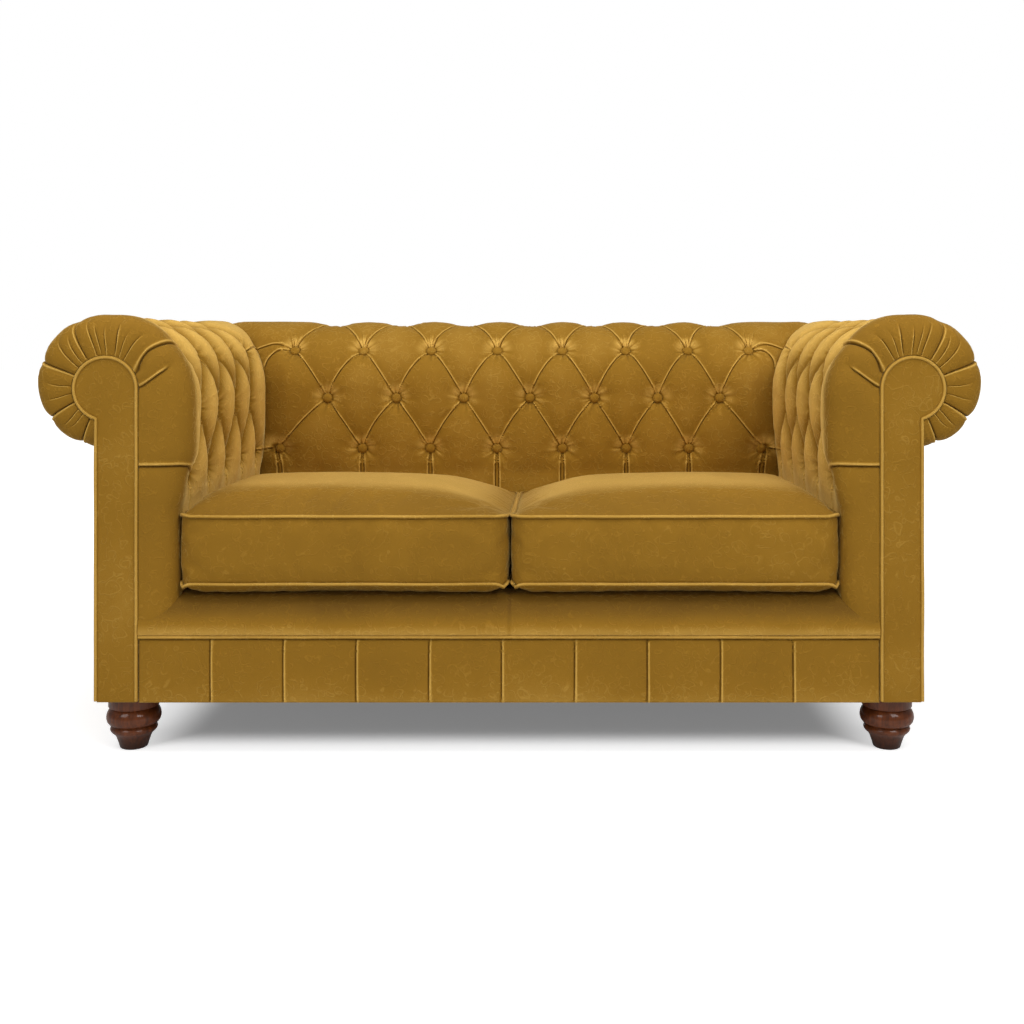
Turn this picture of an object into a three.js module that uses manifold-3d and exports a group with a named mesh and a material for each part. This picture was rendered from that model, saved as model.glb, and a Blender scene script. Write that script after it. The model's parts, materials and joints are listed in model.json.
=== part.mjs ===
// Two-seat sofa with rolled arms, deep-buttoned arms and back, loose box cushions and turned legs.
// Millimetres, +Z up. +Y points to the rear, so the front faces -Y and +X is a viewer's right.
// The origin is on the floor under the middle of the sofa.
import * as THREE from 'three';
import { mergeVertices } from 'three/addons/utils/BufferGeometryUtils.js';
import Module from 'manifold-3d';

const wasm = await Module();
wasm.setup();

// ---------------------------------------------------------------- driving dimensions
const overallWidth = 1700;
const overallDepth = 940;
const overallHeight = 800;
const fit = 0.3; // gap between pieces that touch

// Heights, each measured from the one before it.
const legHeight = 99;
const frontBorderHeight = 115;
const noseFrontHeight = 10; // from the top of the border to where the nose turns back
const noseRise = 66; // from there to the level top of the seat platform

// Section shared by the arms and the back, measured from the axis of the roll towards the seat.
const rollRadius = 120;
const padReach = 139; // to the fullest part of the padded inner face
const padFullestDrop = 35; // of that part below the axis
const overhangDrop = 80; // from the axis down to where the swelling of the inner face ends
const overhangAbovePlatform = 150; // where that swelling starts
const seatReach = 122; // to the inner face beside the cushions
const padCoreReach = 62; // to the rear of the foam
const rollCoreRadius = 75; // hollow of the roll
const panelReach = 20; // outside panels lie this far beyond the roll axis
const panelThickness = 6;
const frameReach = 58; // to the inner edge of the wooden frame
const uprightHeadRadius = 69;

// Arm fronts.
const facingHeadRadius = 60;
const facingHeadDrop = 13; // centre of the head below the axis of the roll
const facingThickness = 9;
const pipingRadius = 3.5;
const armBoardThickness = 18;
const mouthClearance = 0.9; // between the facing's rounded edge and the arm pad around it
const padRounding = 45; // depth over which the arm pad turns to meet the facing
const padSetback = 4; // from the front of the sofa to where the arm pad starts

// Deep buttoning.
const backButtons = 8; // in the longer rows
const armButtons = 5;
const backButtonInset = 65; // from an arm's inner face to the end button
const armFirstButton = 113; // from the front of the sofa
const armLastInset = 73; // from the back's inner face to the last button
const firstRowAbovePlatform = 207;
const lastRowBehindCrest = 2;
const rowShares = [0, 0.32, 0.65, 1]; // of the way from the first row to the last
const buttonDepth = 26;
const pleatDepth = 9;
const outerPleatDepth = 4;
const mitreValley = 12;
const mitreBlend = 45;
const buttonRadius = 11;
const buttonHeight = 6;
const buttonSides = 6;
const twineRadius = 0.8;
const twineSides = 3;
const tapeWidth = 6; // the twine is tied to tapes behind the foam
const tapeThickness = 1.2;
const crossTapeThickness = 0.8;
const tapeRoom = 1.1; // from the rear of the foam to the middle of a tape
const facetsPerPitch = 4;

// Seat platform and front border.
const deckThickness = 28;
const noseRun = 68; // from the front of the nose back to where its top is level
const noseDepth = 90;
const borderPanels = 10;
const borderThickness = 10;
const borderGroove = 3;
const pipingFlange = 5;
const frontSetback = 2; // border and nose lie this far behind the facing piping

// Cushions.
const cushionGap = 2;
const cushionSideGap = 3;
const cushionSetback = 15; // behind the facing piping
const cushionBackGap = 2;
const cushionFloat = 0.5;
const underCrown = 20; // from the resting face up to the lower piping
const cushionBorderHeight = 123; // between the two rows of piping
const crownHeight = 48;
const cushionCorner = 26;
const zipLength = 460;
const zipWidth = 12;
const zipRecess = 7;
const zipMargin = 4;
const zipTapeThickness = 1.2;
const zipTeethWidth = 4.4;
const zipTeethThickness = 1.4;
const sliderLength = 12;
const sliderWidth = 9;
const sliderThickness = 2.3;
const pullerLength = 24;
const pullerWidth = 5;

// Wooden frame.
const railThickness = 25;
const railDrop = 56; // from the platform's top to the top of the seat rails
const blockHeight = 46;
const blockDepth = 90;
const blockReach = 60; // inwards from the middle of a leg
const braceHeight = 75;
const braceDrop = 10; // below the springs
const tackRailAbovePlatform = 10;
const tackRailHeight = 40;
const topRailDrop = 45; // from the axis of the roll to the top of the rail
const topRailHeight = 75;
const slatThickness = 24;
const hessianThickness = 1.5;
const hessianAbovePlatform = 2;
const dustCoverThickness = 1.7;

// Legs.
const legInsetX = 150; // from the side of the sofa to the middle of a leg
const legInsetFront = 70;
const legInsetRear = 50; // from the outside back panel
const legRadius = 49;
const legCollarHeight = 21.5;
const boltRadius = 4;
const boltInLeg = 45;
const boltInBlock = 38;

// Springs.
const springCount = 6;
const springWaves = 7;
const springSwing = 26;
const springWire = 2;
const springRise = 22;
const springMargin = 6; // from the outer faces of the seat rails

// ---------------------------------------------------------------- derived places
const frontY = -overallDepth / 2;
const armAxisX = overallWidth / 2 - rollRadius;
const backAxisY = overallDepth / 2 - rollRadius;
const rollAxisZ = overallHeight - rollRadius;
const mitreOffset = backAxisY - armAxisX; // the mitre plane is y = |x| + mitreOffset
const bodyBottom = legHeight;
const borderTop = bodyBottom + frontBorderHeight;
const noseBottom = borderTop + 2 * (pipingRadius + fit);
const noseShoulder = borderTop + noseFrontHeight;
const platformTop = noseShoulder + noseRise;
const railTop = platformTop - railDrop;
const frameBottom = bodyBottom + dustCoverThickness + 2 * fit;
const facingHeadHeight = rollAxisZ - facingHeadDrop;
const padFullestHeight = rollAxisZ - padFullestDrop;
const topRailBottom = rollAxisZ - topRailDrop - topRailHeight;
const tackRailBottom = platformTop + tackRailAbovePlatform;
const hessianBottom = platformTop + hessianAbovePlatform;
const hessianTop = topRailBottom + topRailHeight;
const faceY = frontY + frontSetback; // front of the border and the nose
const facingY = frontY + pipingRadius;
const facingBackY = facingY + facingThickness;
const armBoardY = facingBackY + fit;
const armBoardBackY = armBoardY + armBoardThickness;
const frontRailY = faceY + borderThickness + fit;
const frontRailBackY = frontRailY + railThickness;
const backRailBackY = backAxisY - frameReach - fit;
const backRailY = backRailBackY - railThickness;
const panelBackY = backAxisY + panelReach;
const uprightY = backRailBackY + fit;
const uprightBackY = panelBackY - panelThickness - 2 * fit;
const seatHalf = armAxisX - facingHeadRadius - fit; // half width of the front rail, border and nose
const deckHalf = armAxisX - padCoreReach;
const sideRailOuter = armAxisX + panelReach - panelThickness - 2 * fit;
const sideRailInner = sideRailOuter - railThickness;
const padFoot = borderTop - 10; // the pads are drawn from below the platform, which trims them
const cutterFoot = padFoot - 60;
// The outside panels run past the outer edges of the boards and uprights, up to this height.
const panelTop = rollAxisZ - Math.sqrt(rollCoreRadius ** 2 - panelReach ** 2) - fit;
const firstButtonY = frontY + armFirstButton;
const lastButtonY = backAxisY - seatReach - armLastInset;
const armButtonPitch = (lastButtonY - firstButtonY) / (armButtons - 1);
const endButtonX = armAxisX - seatReach - backButtonInset;
const backButtonPitch = (2 * endButtonX) / (backButtons - 1);

// ---------------------------------------------------------------- materials
const velvet = new THREE.MeshStandardMaterial({ color: 0x8d6521, roughness: 0.85, metalness: 0 });
const walnutStain = new THREE.MeshStandardMaterial({ color: 0x3a170d, roughness: 0.3, metalness: 0 });
const beech = new THREE.MeshStandardMaterial({ color: 0xc79a63, roughness: 0.7, metalness: 0 });
const springSteel = new THREE.MeshStandardMaterial({ color: 0x6f7276, roughness: 0.4, metalness: 1 });
const zincSteel = new THREE.MeshStandardMaterial({ color: 0xa9abad, roughness: 0.35, metalness: 1 });
const hessianCloth = new THREE.MeshStandardMaterial({ color: 0xb09468, roughness: 0.95, metalness: 0 });
const platformCloth = new THREE.MeshStandardMaterial({ color: 0x6f5322, roughness: 0.95, metalness: 0 });
const dustCloth = new THREE.MeshStandardMaterial({ color: 0x1b1b1c, roughness: 0.95, metalness: 0 });
const zipBrass = new THREE.MeshStandardMaterial({ color: 0xa8842f, roughness: 0.35, metalness: 1 });

// ---------------------------------------------------------------- solids
function signedVolume(positions, triangles) {
  const a = new THREE.Vector3();
  const b = new THREE.Vector3();
  const c = new THREE.Vector3();
  let total = 0;
  for (let i = 0; i < triangles.length; i += 3) {
    a.fromArray(positions, 3 * triangles[i]);
    b.fromArray(positions, 3 * triangles[i + 1]);
    c.fromArray(positions, 3 * triangles[i + 2]);
    total += a.dot(b.cross(c));
  }
  return total;
}

// A closed geometry as a manifold-3d solid, with its faces turned outwards.
function solid(geometry) {
  const bare = new THREE.BufferGeometry();
  const source = geometry.index ? geometry.toNonIndexed() : geometry;
  bare.setAttribute('position', source.getAttribute('position').clone());
  const merged = mergeVertices(bare, 1e-3);
  const vertProperties = new Float32Array(merged.attributes.position.array);
  const triVerts = new Uint32Array(merged.index.array);
  if (signedVolume(vertProperties, triVerts) < 0) {
    for (let i = 0; i < triVerts.length; i += 3) {
      [triVerts[i + 1], triVerts[i + 2]] = [triVerts[i + 2], triVerts[i + 1]];
    }
  }
  return new wasm.Manifold(new wasm.Mesh({ numProp: 3, vertProperties, triVerts }));
}

function geometryOf(made) {
  const mesh = made.getMesh();
  const geometry = new THREE.BufferGeometry();
  geometry.setAttribute('position', new THREE.BufferAttribute(mesh.vertProperties, 3));
  geometry.setIndex(new THREE.BufferAttribute(mesh.triVerts, 1));
  geometry.computeVertexNormals();
  return geometry;
}

const cut = (whole, ...tools) => tools.reduce((left, tool) => left.subtract(tool), whole);
const join = (first, ...others) => others.reduce((sum, other) => sum.add(other), first);

function block(x0, x1, y0, y1, z0, z1) {
  const geometry = new THREE.BoxGeometry(x1 - x0, y1 - y0, z1 - z0);
  return solid(geometry.translate((x0 + x1) / 2, (y0 + y1) / 2, (z0 + z1) / 2));
}

// A straight rod between two points. Its facets are turned a little about its axis, so that crossing
// rods never meet edge on edge.
const rodPhase = 0.3;

function rod(from, to, radius, sides) {
  const along = to.clone().sub(from);
  const geometry = new THREE.CylinderGeometry(
    radius, radius, along.length(), sides, 1, false, rodPhase);
  const turn = new THREE.Quaternion().setFromUnitVectors(
    new THREE.Vector3(0, 1, 0), along.clone().normalize());
  geometry.applyQuaternion(turn);
  const middle = from.clone().add(to).multiplyScalar(0.5);
  return solid(geometry.translate(middle.x, middle.y, middle.z));
}

const extrusion = { bevelEnabled: false, curveSegments: 16 };

// Extrudes an outline drawn in section coordinates (inwards from the roll axis, height).
function extrudeArmSection(shape, y0, y1) {
  const geometry = new THREE.ExtrudeGeometry(shape, { ...extrusion, depth: y1 - y0 });
  return solid(geometry.rotateX(Math.PI / 2).translate(-armAxisX, y1, 0));
}

function extrudeBackSection(shape, x0, x1) {
  const geometry = new THREE.ExtrudeGeometry(shape, { ...extrusion, depth: x1 - x0 });
  const toBack = new THREE.Matrix4().set(
    0, 0, 1, x0,
    -1, 0, 0, backAxisY,
    0, 1, 0, 0,
    0, 0, 0, 1);
  return solid(geometry.applyMatrix4(toBack));
}

// Extrudes an outline drawn in the YZ plane across the sofa.
function extrudeAcross(shape, x0, x1) {
  const geometry = new THREE.ExtrudeGeometry(shape, { ...extrusion, depth: x1 - x0 });
  const across = new THREE.Matrix4().set(
    0, 0, 1, x0,
    1, 0, 0, 0,
    0, 1, 0, 0,
    0, 0, 0, 1);
  return solid(geometry.applyMatrix4(across));
}

function outline(points) {
  return new THREE.Shape(points.map(([x, y]) => new THREE.Vector2(x, y)));
}

// The two triangles of a quad a-b-c-d, split along the diagonal whose ends lie deeper, so that a
// crease that runs from corner to corner stays sharp.
function quad([a, b, c, d], [da, db, dc, dd] = [0, 0, 0, 0]) {
  return da + dc <= db + dd ? [a, b, c, a, c, d] : [a, b, d, b, c, d];
}

function indexed(rings, triangles) {
  const geometry = new THREE.BufferGeometry();
  const positions = rings.flat().flatMap((point) => point.toArray());
  geometry.setAttribute('position', new THREE.Float32BufferAttribute(positions, 3));
  geometry.setIndex(triangles);
  return geometry;
}

// Triangles of the skin between neighbouring rings that all have as many points.
function skin(rings, depths) {
  const count = rings[0].length;
  const triangles = [];
  for (let i = 0; i + 1 < rings.length; i += 1) {
    for (let j = 0; j < count; j += 1) {
      const k = (j + 1) % count;
      const corners = [[i, j], [i + 1, j], [i + 1, k], [i, k]];
      triangles.push(...quad(
        corners.map(([ring, at]) => ring * count + at),
        depths && corners.map(([ring, at]) => depths[ring][at] ?? 0)));
    }
  }
  return triangles;
}

// A closed solid over convex rings, each ended by a fan.
function convexLoft(rings) {
  const count = rings[0].length;
  const triangles = skin(rings);
  const lastRing = (rings.length - 1) * count;
  for (let j = 1; j + 1 < count; j += 1) {
    triangles.push(0, j, j + 1, lastRing, lastRing + j + 1, lastRing + j);
  }
  return solid(indexed(rings, triangles));
}

// A closed solid whose rings run along an outer line and come back along a spine with as many
// points. Each end is a strip between the two lines.
function spinedLoft(lines, spines, depths) {
  const rings = lines.map((line, i) => [...line, ...spines[i].toReversed()]);
  const count = rings[0].length;
  const triangles = skin(rings, depths);
  const lastRing = (rings.length - 1) * count;
  for (let j = 0; j + 1 < count / 2; j += 1) {
    const strip = [j, j + 1, count - 2 - j, count - 1 - j];
    triangles.push(...quad(strip));
    triangles.push(...quad(strip.map((v) => v + lastRing).reverse()));
  }
  return solid(indexed(rings, triangles));
}

// ---------------------------------------------------------------- the scene graph
const sofa = new THREE.Group();

function add(name, made, material) {
  const mesh = new THREE.Mesh(geometryOf(made), material);
  mesh.name = name;
  sofa.add(mesh);
  return mesh;
}

// A piece built on the left and its mirror image on the right.
function addPair(name, made, material) {
  add(`${name}_left`, made, material);
  add(`${name}_right`, made, material).scale.x = -1;
}

// ---------------------------------------------------------------- section of the pads
const roundedEnd = Math.PI + Math.acos((panelReach - 1) / rollRadius); // trimmed at the panel
const spineReach = 18;
const overhangHeight = platformTop + overhangAbovePlatform;
const overhangTop = rollAxisZ - overhangDrop;
const padOutline = new THREE.Path();
padOutline.moveTo(seatReach, padFoot);
padOutline.lineTo(seatReach, overhangHeight);
padOutline.bezierCurveTo(
  seatReach, THREE.MathUtils.lerp(overhangHeight, overhangTop, 0.13),
  padReach, THREE.MathUtils.lerp(overhangHeight, overhangTop, 0.14),
  padReach, overhangTop);
padOutline.lineTo(padReach, padFullestHeight);
padOutline.absellipse(
  0, padFullestHeight, padReach, overallHeight - padFullestHeight, 0, Math.PI / 2, false);
padOutline.absarc(0, rollAxisZ, rollRadius, Math.PI / 2, roundedEnd, false);
const padLength = padOutline.getLength();

// The distance along the outline at which its rising inner face reaches a height.
function lengthAtHeight(height) {
  let [low, high] = [0, overallHeight - padFoot];
  for (let i = 0; i < 40; i += 1) {
    const middle = (low + high) / 2;
    if (padOutline.getPointAt(middle / padLength).y < height) low = middle;
    else high = middle;
  }
  return low;
}

const crest = padLength - rollRadius * (roundedEnd - Math.PI / 2);
const equator = crest + (rollRadius * Math.PI) / 2;
const rowLengths = rowShares.map((share) => THREE.MathUtils.lerp(
  lengthAtHeight(platformTop + firstRowAbovePlatform), crest + lastRowBehindCrest, share));
const lastRow = rowLengths.length - 1;
const firstSpacing = rowLengths[1] - rowLengths[0];
const lastSpacing = rowLengths[lastRow] - rowLengths[lastRow - 1];

// The row coordinate at a length along the outline: 0 on the lowest row of buttons, 3 on the last.
function rowAt(length) {
  if (length <= rowLengths[0]) return (length - rowLengths[0]) / firstSpacing;
  if (length >= rowLengths[lastRow]) return lastRow + (length - rowLengths[lastRow]) / lastSpacing;
  const row = rowLengths.findIndex((end) => length <= end) - 1;
  return row + (length - rowLengths[row]) / (rowLengths[row + 1] - rowLengths[row]);
}

function pointAt(length) {
  return padOutline.getPointAt(Math.min(length / padLength, 1));
}

function normalAt(length) {
  const tangent = padOutline.getTangentAt(Math.min(length / padLength, 1));
  return new THREE.Vector2(tangent.y, -tangent.x);
}

// A point well inside the hollow of the pad, level with a point of its outline.
function spineOf(point) {
  if (point.x > 0 && point.y < facingHeadHeight) return new THREE.Vector2(spineReach, point.y);
  const axis = new THREE.Vector2(0, rollAxisZ);
  return point.clone().sub(axis).setLength(2 * spineReach).add(axis);
}

const between = (from, to, parts) =>
  Array.from({ length: parts }, (_, i) => THREE.MathUtils.lerp(from, to, i / parts));

const outlineLengths = [
  0,
  ...between(lengthAtHeight(overhangHeight), rowLengths[0], 2),
  ...between(rowLengths[0], rowLengths[1], 2),
  ...between(rowLengths[1], rowLengths[2], 2),
  ...between(rowLengths[2], rowLengths[3], 2),
  ...between(rowLengths[3], equator, 3),
  ...between(equator, padLength, 3),
  padLength,
];

const samples = outlineLengths.map((length) => {
  const point = pointAt(length);
  return { point, row: rowAt(length), normal: normalAt(length), spine: spineOf(point) };
});

// How far a deep-buttoned surface lies below its full form. along is in pitches, with a button of
// the even rows on each whole number.
function buttoning(along, row) {
  const nearness = (value) => (1 - 2 * Math.abs(value - Math.round(value))) ** 2;
  if (row < 0) {
    const fold = nearness(along);
    return -pleatDepth * fold - (buttonDepth - pleatDepth) * fold * Math.max(0, 1 + 3 * row);
  }
  if (row > lastRow) {
    const fold = nearness(along + lastRow / 2);
    const beyond = Math.max(0, 1 - 3 * (row - lastRow));
    return -outerPleatDepth * fold - (buttonDepth - outerPleatDepth) * fold * beyond;
  }
  const rising = nearness(along - row / 2);
  const falling = nearness(along + row / 2);
  return -pleatDepth * (rising + falling) - (buttonDepth - 2 * pleatDepth) * rising * falling;
}

// The pads dip where arm and back meet at the mitre.
function reliefNearMitre(relief, distance) {
  const clear = THREE.MathUtils.smoothstep(distance, 0, mitreBlend);
  return relief * clear - mitreValley * (1 - clear);
}

// ---------------------------------------------------------------- deep-buttoned pads
const backRelief = (x, sample) => reliefNearMitre(
  buttoning(x / backButtonPitch + 0.5, sample.row), armAxisX - sample.point.x - Math.abs(x));

const armRelief = (y, sample) => {
  const start = frontY + padSetback + padRounding;
  const fade = THREE.MathUtils.smoothstep(y, start, firstButtonY);
  const along = (y - firstButtonY) / armButtonPitch;
  const distance = backAxisY - sample.point.x - y;
  return reliefNearMitre(fade * buttoning(along, sample.row), distance);
};

// The point of the arm facing's edge that a point of the pad's outline turns in to.
function facingEdge(point) {
  if (point.x > 0 && point.y < facingHeadHeight) return new THREE.Vector2(facingHeadRadius, point.y);
  const head = new THREE.Vector2(0, facingHeadHeight);
  return point.clone().sub(head).setLength(facingHeadRadius).add(head);
}

const onBack = (x, p, z) => new THREE.Vector3(x, backAxisY - p, z);
const onArm = (y, p, z) => new THREE.Vector3(p - armAxisX, y, z);

function tuftedLines(place, stations, relief) {
  const depths = stations.map((station) => samples.map((sample) => relief(station, sample)));
  const lines = stations.map((station, i) => samples.map(({ point, normal }, j) => {
    const moved = point.clone().addScaledVector(normal, depths[i][j]);
    return place(station, moved.x, moved.y);
  }));
  return { lines, depths };
}

const spineLine = (place, station) => samples.map(({ spine }) => place(station, spine.x, spine.y));

function backPadForm() {
  const facets = (backButtons - 1) * facetsPerPitch;
  const stations = [
    ...between(-overallWidth / 2, -endButtonX, 5),
    ...between(-endButtonX, endButtonX, facets),
    ...between(endButtonX, overallWidth / 2, 5),
    overallWidth / 2,
  ];
  const { lines, depths } = tuftedLines(onBack, stations, backRelief);
  return spinedLoft(lines, stations.map((x) => spineLine(onBack, x)), depths);
}

function armPadForm() {
  const turnAngles = between(0, Math.PI / 2, 4);
  const turnY = (angle) => frontY + padSetback + padRounding * (1 - Math.cos(angle));
  const turned = turnAngles.map((angle) => samples.map(({ point }) => {
    const moved = facingEdge(point).lerp(point, Math.sin(angle));
    return onArm(turnY(angle), moved.x, moved.y);
  }));
  const stations = [
    frontY + padSetback + padRounding,
    ...between(firstButtonY, lastButtonY, (armButtons - 1) * facetsPerPitch),
    ...between(lastButtonY, overallDepth / 2, 5),
    overallDepth / 2,
  ];
  const tufted = tuftedLines(onArm, stations, armRelief);
  const flat = turned.map(() => samples.map(() => 0));
  const places = [...turnAngles.map(turnY), ...stations];
  return spinedLoft(
    [...turned, ...tufted.lines],
    places.map((y) => spineLine(onArm, y)),
    [...flat, ...tufted.depths]);
}

// A post with a round head on the roll's axis: the hollow behind the foam, or a board inside it.
function postShape(inner, radius, floor) {
  const end = Math.PI + Math.acos(panelReach / radius);
  const shape = new THREE.Shape();
  shape.moveTo(-panelReach, floor);
  shape.lineTo(inner, floor);
  shape.absarc(0, rollAxisZ, radius, -Math.acos(inner / radius), end, false);
  shape.closePath();
  return shape;
}

// Board outline of the arm fronts: a post with a round head.
function facingShape(clearance, floor) {
  const radius = facingHeadRadius - clearance;
  const outer = -panelReach + clearance;
  const shape = new THREE.Shape();
  shape.moveTo(outer, floor);
  shape.lineTo(radius, floor);
  shape.lineTo(radius, facingHeadHeight);
  shape.absarc(0, facingHeadHeight, radius, 0, Math.PI + Math.acos(-outer / radius), false);
  shape.closePath();
  return shape;
}

// Everything on the far side of the mitre plane of the left corner.
function mitreWedge(arm) {
  const reach = overallWidth / 2 + rollRadius; // well beyond the corner
  const gap = arm ? -fit : fit;
  const line = (x) => x + mitreOffset + gap;
  const near = armAxisX - 2 * padReach; // well inside the arm's inner face
  const third = arm ? [-near, line(reach)] : [-reach, line(near)];
  const triangle = outline([[-near, line(near)], [-reach, line(reach)], third]);
  const geometry = new THREE.ExtrudeGeometry(triangle, { ...extrusion, depth: overallHeight + rollRadius });
  return solid(geometry);
}

function mirrored(made) {
  return solid(geometryOf(made).scale(-1, 1, 1));
}

// Outline in the YZ plane of the rounded nose and the deck behind it, raised by a clearance.
function platformShape(clearance, floor, back) {
  const front = faceY - clearance;
  const shape = new THREE.Shape();
  shape.moveTo(front, floor);
  shape.lineTo(front, noseShoulder);
  shape.absellipse(
    faceY + noseRun, noseShoulder, noseRun + clearance, platformTop + clearance - noseShoulder,
    Math.PI, Math.PI / 2, true);
  shape.lineTo(back, platformTop + clearance);
  shape.lineTo(back, floor);
  shape.closePath();
  return shape;
}

// ---------------------------------------------------------------- buttons, twine and tapes
// A button sits as deep in its dimple as the steepest side of the dimple lets it.
const firstRise = armFirstButton - padSetback - padRounding;
const steepest = buttonDepth / Math.min(armButtonPitch / 4, backButtonPitch / 4, firstRise);
const buttonLift = buttonRadius * steepest + fit;

function buttonSeat(length) {
  const normal = normalAt(length);
  const seat = pointAt(length).addScaledVector(normal, buttonLift - buttonDepth);
  const axis = new THREE.Vector2(0, rollAxisZ);
  const tape = seat.y > rollAxisZ
    ? seat.clone().sub(axis).setLength(rollCoreRadius - 2 * tapeRoom).add(axis)
    : new THREE.Vector2(padCoreReach - tapeRoom, seat.y);
  return { seat, normal, tape };
}

const buttonSeats = rowLengths.map(buttonSeat);

function buttonAt(position, direction) {
  const profile = [[0, 0], [buttonRadius, 0], [buttonRadius, buttonHeight / 2], [0, buttonHeight]];
  const points = profile.map(([x, y]) => new THREE.Vector2(x, y));
  const geometry = new THREE.LatheGeometry(points, buttonSides);
  const turn = new THREE.Quaternion().setFromUnitVectors(new THREE.Vector3(0, 1, 0), direction);
  return solid(geometry.applyQuaternion(turn).translate(position.x, position.y, position.z));
}

// A tape's outline along a path of section points, square to the path by half its thickness.
function ribbon(path, thickness) {
  const sides = path.map((point, i) => {
    const before = path[Math.max(i - 1, 0)];
    const after = path[Math.min(i + 1, path.length - 1)];
    const along = after.clone().sub(before).normalize();
    return new THREE.Vector2(-along.y, along.x).multiplyScalar(thickness / 2);
  });
  return new THREE.Shape([
    ...path.map((point, i) => point.clone().add(sides[i])),
    ...path.map((point, i) => point.clone().sub(sides[i])).reverse(),
  ]);
}

// The path of the tape that joins the rows, inside the hollow of the roll.
function crossTapePath() {
  const axis = new THREE.Vector2(0, rollAxisZ);
  const [first, second, third, fourth] = buttonSeats.map(({ tape }) => tape);
  const bend = new THREE.Vector2(second.x, second.y + tapeWidth);
  const middle = third.clone().add(fourth).multiplyScalar(0.5);
  const arched = middle.sub(axis).setLength(third.distanceTo(axis)).add(axis);
  const overrun = new THREE.Vector2(0, tapeWidth / 4);
  return [first.clone().sub(overrun), bend, third, arched, fourth];
}

// The buttons of one pad on their twine, tied to tapes, and the cutter for the twine's holes.
function tufting(place, extrude, columns) {
  const direction = (normal) => place(0, normal.x, normal.y).sub(place(0, 0, 0)).normalize();
  const crossing = columns(1)[0];
  const cross = ribbon(crossTapePath(), crossTapeThickness);
  const pieces = [extrude(cross, crossing - tapeWidth / 2 - 1, crossing + tapeWidth / 2 + 1)];
  const holes = [];
  buttonSeats.forEach(({ seat, normal, tape }, row) => {
    const stations = columns(row);
    const tangent = new THREE.Vector2(-normal.y, normal.x);
    if (seat.y < rollAxisZ) tangent.set(0, 1);
    const half = tangent.multiplyScalar(tapeWidth / 2);
    const strip = ribbon([tape.clone().sub(half), tape.clone().add(half)], tapeThickness);
    const start = Math.min(stations[0], crossing) - tapeWidth;
    pieces.push(extrude(strip, start, stations[stations.length - 1] + tapeWidth));
    for (const station of stations) {
      const at = place(station, seat.x, seat.y);
      const knot = place(station, tape.x, tape.y);
      const overlap = at.clone().sub(knot).setLength(1).add(at);
      pieces.push(buttonAt(at, direction(normal)));
      pieces.push(rod(knot, overlap, twineRadius, twineSides));
      holes.push(rod(knot, overlap, twineRadius + 2 * fit, twineSides));
    }
  });
  return { pieces: join(...pieces), holes: join(...holes) };
}

// Places of a row's buttons. Every other row has one button fewer, half a pitch along.
function columnsOf(start, pitch, count) {
  return (row) => Array.from(
    { length: count - (row % 2) }, (_, i) => start + (i + (row % 2) / 2) * pitch);
}

const backColumns = columnsOf(-endButtonX, backButtonPitch, backButtons);
const armColumns = columnsOf(firstButtonY, armButtonPitch, armButtons);

const paddedCore = postShape(padCoreReach, rollCoreRadius, cutterFoot);
const platformCutter = extrudeAcross(
  platformShape(fit, cutterFoot, overallDepth), -overallWidth, overallWidth);

function upholsteredBack() {
  const { pieces, holes } = tufting(onBack, extrudeBackSection, backColumns);
  const core = extrudeBackSection(paddedCore, -overallWidth, overallWidth);
  const wedge = mitreWedge(false);
  add('back_pad', cut(backPadForm(), core, platformCutter, wedge, mirrored(wedge), holes), velvet);
  add('back_tufting', pieces, velvet);
}

function upholsteredArms() {
  const { pieces, holes } = tufting(onArm, extrudeArmSection, armColumns);
  const core = extrudeArmSection(paddedCore, armBoardBackY, overallDepth);
  const mouthShape = facingShape(-mouthClearance, cutterFoot);
  const mouth = extrudeArmSection(mouthShape, frontY - 1, armBoardBackY + 1);
  addPair('arm_pad', cut(armPadForm(), core, mouth, platformCutter, mitreWedge(true), holes), velvet);
  addPair('arm_tufting', pieces, velvet);
}

// ---------------------------------------------------------------- facings and outside panels
class BoardEdge extends THREE.Curve {
  constructor(shape, y) {
    super();
    this.shape = shape;
    this.y = y;
  }

  getPoint(t) {
    const { x, y: z } = this.shape.getPointAt(t);
    return new THREE.Vector3(x - armAxisX, this.y, z);
  }
}

function armFacings() {
  const board = extrudeArmSection(facingShape(0, bodyBottom), facingY, facingBackY);
  const edge = facingShape(pipingRadius, bodyBottom + pipingRadius);
  const section = new THREE.Shape().absarc(0, 0, pipingRadius, 0, 2 * Math.PI, false);
  const bead = new THREE.ExtrudeGeometry(section, {
    extrudePath: new BoardEdge(edge, facingY), steps: 28, curveSegments: 3, bevelEnabled: false });
  const within = facingShape(fit - mouthClearance, bodyBottom);
  const trim = extrudeArmSection(within, frontY - 2 * pipingRadius, facingBackY);
  addPair('arm_facing', join(board, solid(bead).intersect(trim)), velvet);
}

function outsidePanels() {
  const outer = armAxisX + panelReach - fit;
  const inner = outer - panelThickness;
  const back = panelBackY - fit;
  addPair('outside_arm', block(-outer, -inner, facingBackY + fit, back, bodyBottom, panelTop), velvet);
  add('outside_back', block(
    -inner + fit, inner - fit, back - panelThickness, back, bodyBottom, panelTop), velvet);
}

// ---------------------------------------------------------------- seat platform and front border
function seatPlatform() {
  const back = faceY + noseDepth;
  const springRoom = railTop + 3 * springWire;
  const form = extrudeAcross(platformShape(0, noseBottom, back), -seatHalf, seatHalf);
  const rail = block(
    -overallWidth, overallWidth, frontRailY - fit, frontRailBackY + fit, 0, springRoom);
  const under = block(
    -overallWidth, overallWidth, frontRailBackY, back + 1, 0, platformTop - deckThickness);
  add('seat_nose', cut(form, rail, under), velvet);
  add('seat_deck', block(
    -deckHalf, deckHalf, back + fit, backRailBackY,
    platformTop - deckThickness, platformTop), platformCloth);
}

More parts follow.
